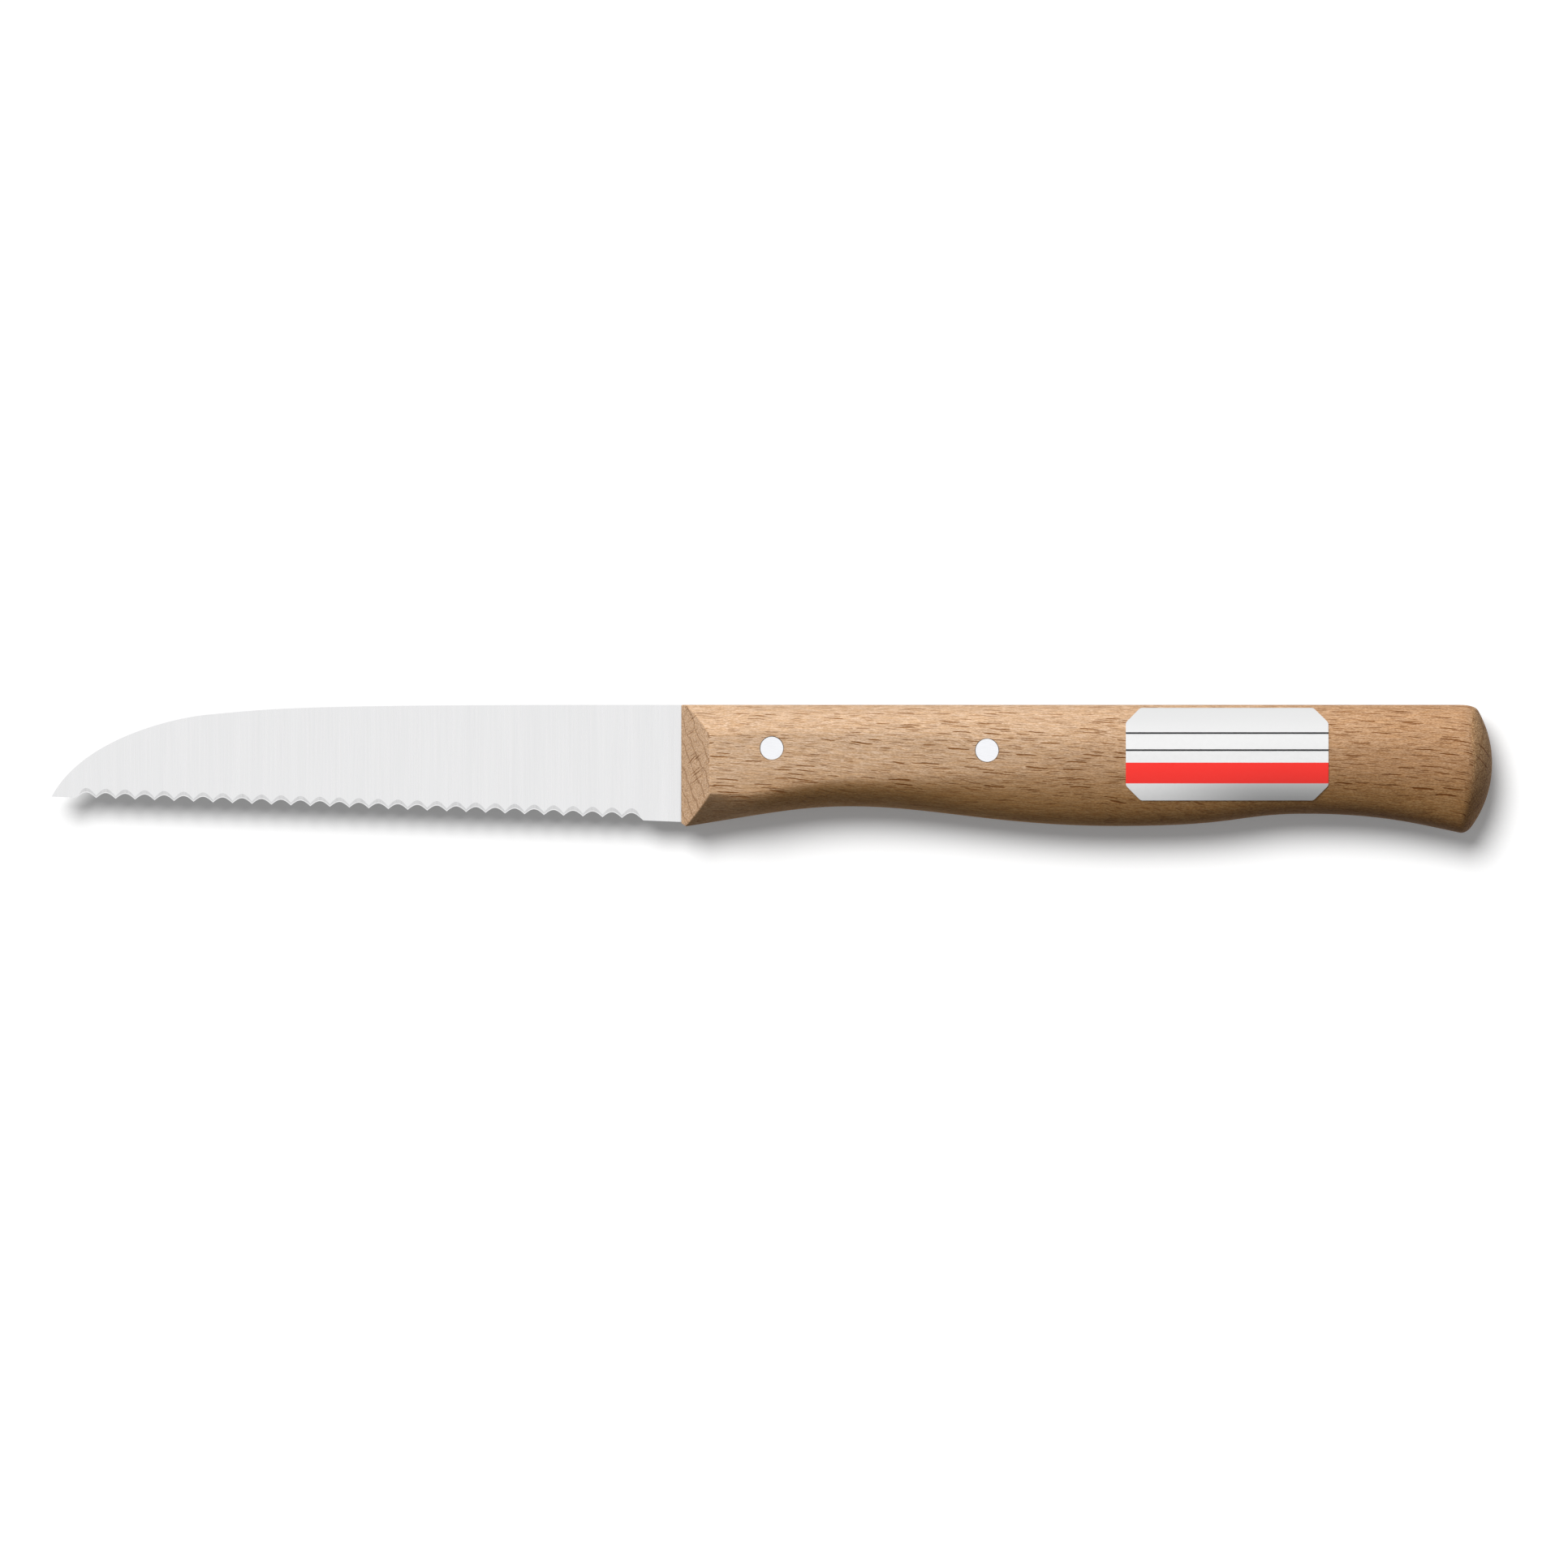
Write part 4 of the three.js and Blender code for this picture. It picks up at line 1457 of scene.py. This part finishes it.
@dataclass
class Label:
    """A paper label with clipped corners, wrapped over the upper side of the handle."""

    handle: Handle
    length: float = 27.3
    height: float = 12.5
    corner: float = 2.0
    soften: float = 0.7
    from_butt: float = 22.2
    drop: float = 0.4
    thickness: float = 0.07
    gap: float = 0.02
    clip_steps: int = 40
    length_steps: int = 60
    height_steps: int = 48
    crease_degrees: float = 40.0

    def __post_init__(self) -> None:
        """Works out how far the round of a corner reaches along its clip."""
        self.tangent = self.soften * math.tan(math.pi / 8.0)

    def wrapped(self, x: Array, y: Array, proud: float) -> Array:
        """Points on the side of the handle at given heights, lifted by a distance.

        Above and below the flat side the roundings are superellipses: the width is the root of one less
        the power of the height's share.

        Args:
            x: Places along the handle.
            y: Heights, at or below the top.
            proud: How far the points stand off the wood.

        Returns:
            The points.
        """
        h = self.handle
        power = h.exponent(x)
        high = h.upper_rise(x)
        low = h.lower_rise(x)
        up = np.clip((y + high) / (high + proud), 0.0, 1.0)
        down = np.clip((low - h.depth(x) - y) / (low + proud), 0.0, 1.0)
        t, b = 0.5 * h.top_flat, 0.5 * h.bottom_flat
        upper = t + (h.half - t + proud) * (1.0 - up**power) ** (1.0 / power)
        lower = b + (h.half - b + proud) * (1.0 - down**power) ** (1.0 / power)
        return np.stack([x, y, np.minimum(upper, lower)], axis=-1)

    def clipped(self, reach: Array) -> Array:
        """How far the outline stands in from a long edge: a clip at 45 degrees, rounded at both ends.

        Args:
            reach: Distances from the nearer short edge.

        Returns:
            The distances from the long edge.
        """
        radius, tangent = self.soften, self.tangent
        first = self.corner + tangent - np.sqrt(np.maximum(radius**2 - (radius - reach) ** 2, 0.0))
        last = radius - np.sqrt(np.maximum(radius**2 - (self.corner + tangent - reach) ** 2, 0.0))
        part = tangent * math.sqrt(0.5)
        straight = np.maximum(self.corner - reach, 0.0)
        inset = np.where(reach < part, first, straight)
        near_edge = (reach > self.corner - part) & (reach < self.corner + tangent)
        return np.where(near_edge, last, inset)

    def build(self) -> Object:
        """Makes both faces of the paper as grids inside its clipped outline, and joins them at the rim.

        Returns:
            The label.
        """
        start = self.handle.length - self.from_butt - self.length
        reach = self.corner + self.tangent
        clip = reach * np.linspace(0.0, 1.0, self.clip_steps) ** 2
        middle = np.linspace(reach, self.length - reach, self.length_steps)
        along = np.concatenate([clip, middle[1:-1], self.length - clip[::-1]])
        inset = self.clipped(np.minimum(along, self.length - along))
        across = np.linspace(0.0, 1.0, self.height_steps)
        upper = -self.drop - inset
        lower = -self.drop - self.height + inset
        y = upper[:, None] + (lower - upper)[:, None] * across
        x = np.broadcast_to((start + along)[:, None], y.shape)
        outer = self.wrapped(x, y, self.gap + self.thickness)
        inner = self.wrapped(x, y, self.gap)
        rows, columns = y.shape
        faces = grid_quads(rows, columns, closed=False)
        index = np.arange(rows * columns).reshape(rows, columns)
        rim = np.concatenate([index[:, 0], index[-1, 1:], index[-2::-1, -1], index[0, -2:0:-1]])
        onward = np.roll(rim, -1)
        below = rows * columns
        sides = np.stack([rim, onward, onward + below, rim + below], axis=-1)
        quads = np.concatenate([faces, faces[:, ::-1] + below, sides])
        points = np.concatenate([outer.reshape(-1, 3), inner.reshape(-1, 3)])
        piece = new_object("paper_label", points, quads.tolist())
        shade(piece, self.crease_degrees)
        return piece

    def dress(self, piece: Object) -> None:
        """Gives the label its print and enlists it.

        Args:
            piece: The label.
        """
        top = DATUM.y - self.drop * MM
        piece.data.materials.append(PaperFinish().material(top))
        enlist(piece, "label")


@dataclass(frozen=True)
class LampSetting:
    """A distant light: its strength, and its tilt, turn and spread in degrees."""

    strength: float
    tilt: float
    turn: float
    spread: float


@dataclass
class Studio:
    """A pale floor, a white surround, soft lights from behind the spine, and the camera overhead."""

    floor_size: float = 8.0
    floor_drop: float = 0.1
    floor_seen: Colour = (0.98, 0.98, 0.98)
    floor_bounce: Colour = (0.25, 0.25, 0.25)
    ambient: float = 0.18
    floor_glow: float = 0.13
    floor_roughness: float = 0.9
    key: LampSetting = LampSetting(strength=3.75, tilt=46.0, turn=30.0, spread=30.0)
    steep: LampSetting = LampSetting(strength=2.74, tilt=26.6, turn=31.5, spread=27.0)
    view_width: float = 211.6
    view_centre: Pair = (13.85, -10.68)
    lens: float = 600.0
    sensor: float = 36.0
    sight: float = 20.0

    def seen_share(self, tree: bpy.types.NodeTree) -> Socket:
        """1 for unscattered rays from the camera, a reflection or glass, and 0 for all others.

        Args:
            tree: The node tree that asks.

        Returns:
            The share.
        """
        path = tree.nodes.new("ShaderNodeLightPath")
        total = path.outputs["Is Camera Ray"]
        steps = (
            ("MAXIMUM", "Is Glossy Ray"),
            ("MAXIMUM", "Is Transmission Ray"),
            ("SUBTRACT", "Diffuse Depth"),
        )
        for operation, name in steps:
            node = tree.nodes.new("ShaderNodeMath")
            node.operation = operation
            node.use_clamp = True
            tree.links.new(total, node.inputs[0])
            tree.links.new(path.outputs[name], node.inputs[1])
            total = node.outputs["Value"]
        return total

    def lay_floor(self) -> Object:
        """Lays the floor: a flat square that looks nearly white and bounces little light.

        Returns:
            The floor.
        """
        half = 0.5 * self.floor_size / MM
        corners = np.array([(-half, -half), (half, -half), (half, half), (-half, half)])
        level = (-DATUM.z / MM) - self.floor_drop
        points = np.column_stack([corners, np.full(4, level)])
        floor = new_object("floor", points, [[0, 1, 2, 3]])
        g = Graph("pale_floor")
        seen = self.seen_share(g.tree)
        paint = g.finish(
            Base_Color=g.mix(seen, self.floor_bounce, self.floor_seen),
            Emission_Color=WHITE,
            Emission_Strength=g.product(seen, self.floor_glow),
            Roughness=self.floor_roughness,
            Specular_IOR_Level=0.0,
        )
        floor.data.materials.append(paint)
        return floor

    def surround(self) -> None:
        """Sets the white surround, dim for everything that only scatters its light."""
        world = bpy.data.worlds.new("surround")
        world.use_nodes = True
        bpy.context.scene.world = world
        tree = world.node_tree
        level = tree.nodes.new("ShaderNodeMapRange")
        tree.links.new(self.seen_share(tree), level.inputs["Value"])
        level.inputs["To Min"].default_value = self.ambient
        level.inputs["To Max"].default_value = 1.0
        background = tree.nodes["Background"]
        background.inputs["Color"].default_value = (*WHITE, 1.0)
        tree.links.new(level.outputs["Result"], background.inputs["Strength"])

    def light(self, lamp: Lamp, lit: list[Object]) -> None:
        """Hangs a soft distant light.

        Args:
            lamp: Which of the lights.
            lit: The objects that it lights.
        """
        setting = self.key if lamp is Lamp.KEY else self.steep
        data = bpy.data.lights.new(lamp.value, "SUN")
        data.energy = setting.strength
        data.angle = math.radians(setting.spread)
        light = bpy.data.objects.new(lamp.value, data)
        light.rotation_euler = (-math.radians(setting.tilt), 0.0, math.radians(setting.turn))
        light.visible_glossy = False
        bpy.context.scene.collection.objects.link(light)
        receivers = bpy.data.collections.new(f"{lamp.value}_receivers")
        for piece in lit:
            receivers.objects.link(piece)
        light.light_linking.receiver_collection = receivers

    def aim(self) -> None:
        """Hangs the camera straight over the knife, far away with a long lens."""
        data = bpy.data.cameras.new("camera")
        data.lens = self.lens
        data.sensor_width = self.sensor
        data.clip_end = self.sight
        camera = bpy.data.objects.new("camera", data)
        distance = self.view_width * self.lens / self.sensor
        camera.location = DATUM.place(np.array([*self.view_centre, distance]))
        bpy.context.scene.collection.objects.link(camera)
        bpy.context.scene.camera = camera


def main() -> None:
    """Builds and dresses every piece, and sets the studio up."""
    logging.basicConfig(level=logging.INFO, format="%(name)s: %(message)s")
    bpy.context.scene.view_settings.view_transform = "Standard"
    studio = Studio()
    studio.aim()
    studio.surround()
    studio.light(Lamp.STEEP, [studio.lay_floor()])
    rivets = [Rivet("front_rivet", x=12.2, drop=5.85), Rivet("rear_rivet", x=41.2, drop=6.15)]
    handle = Handle()
    blade = Blade(handle)
    label = Label(handle)
    wood = handle.build(rivets)
    handle.dress(wood)
    steel = blade.build()
    blade.dress(steel)
    metal = RivetFinish().material()
    pins = [rivet.build() for rivet in rivets]
    for rivet, pin in zip(rivets, pins):
        rivet.dress(pin, metal)
    paper = label.build()
    label.dress(paper)
    studio.light(Lamp.KEY, [wood, steel, *pins, paper])


if __name__ == "__main__":
    main()
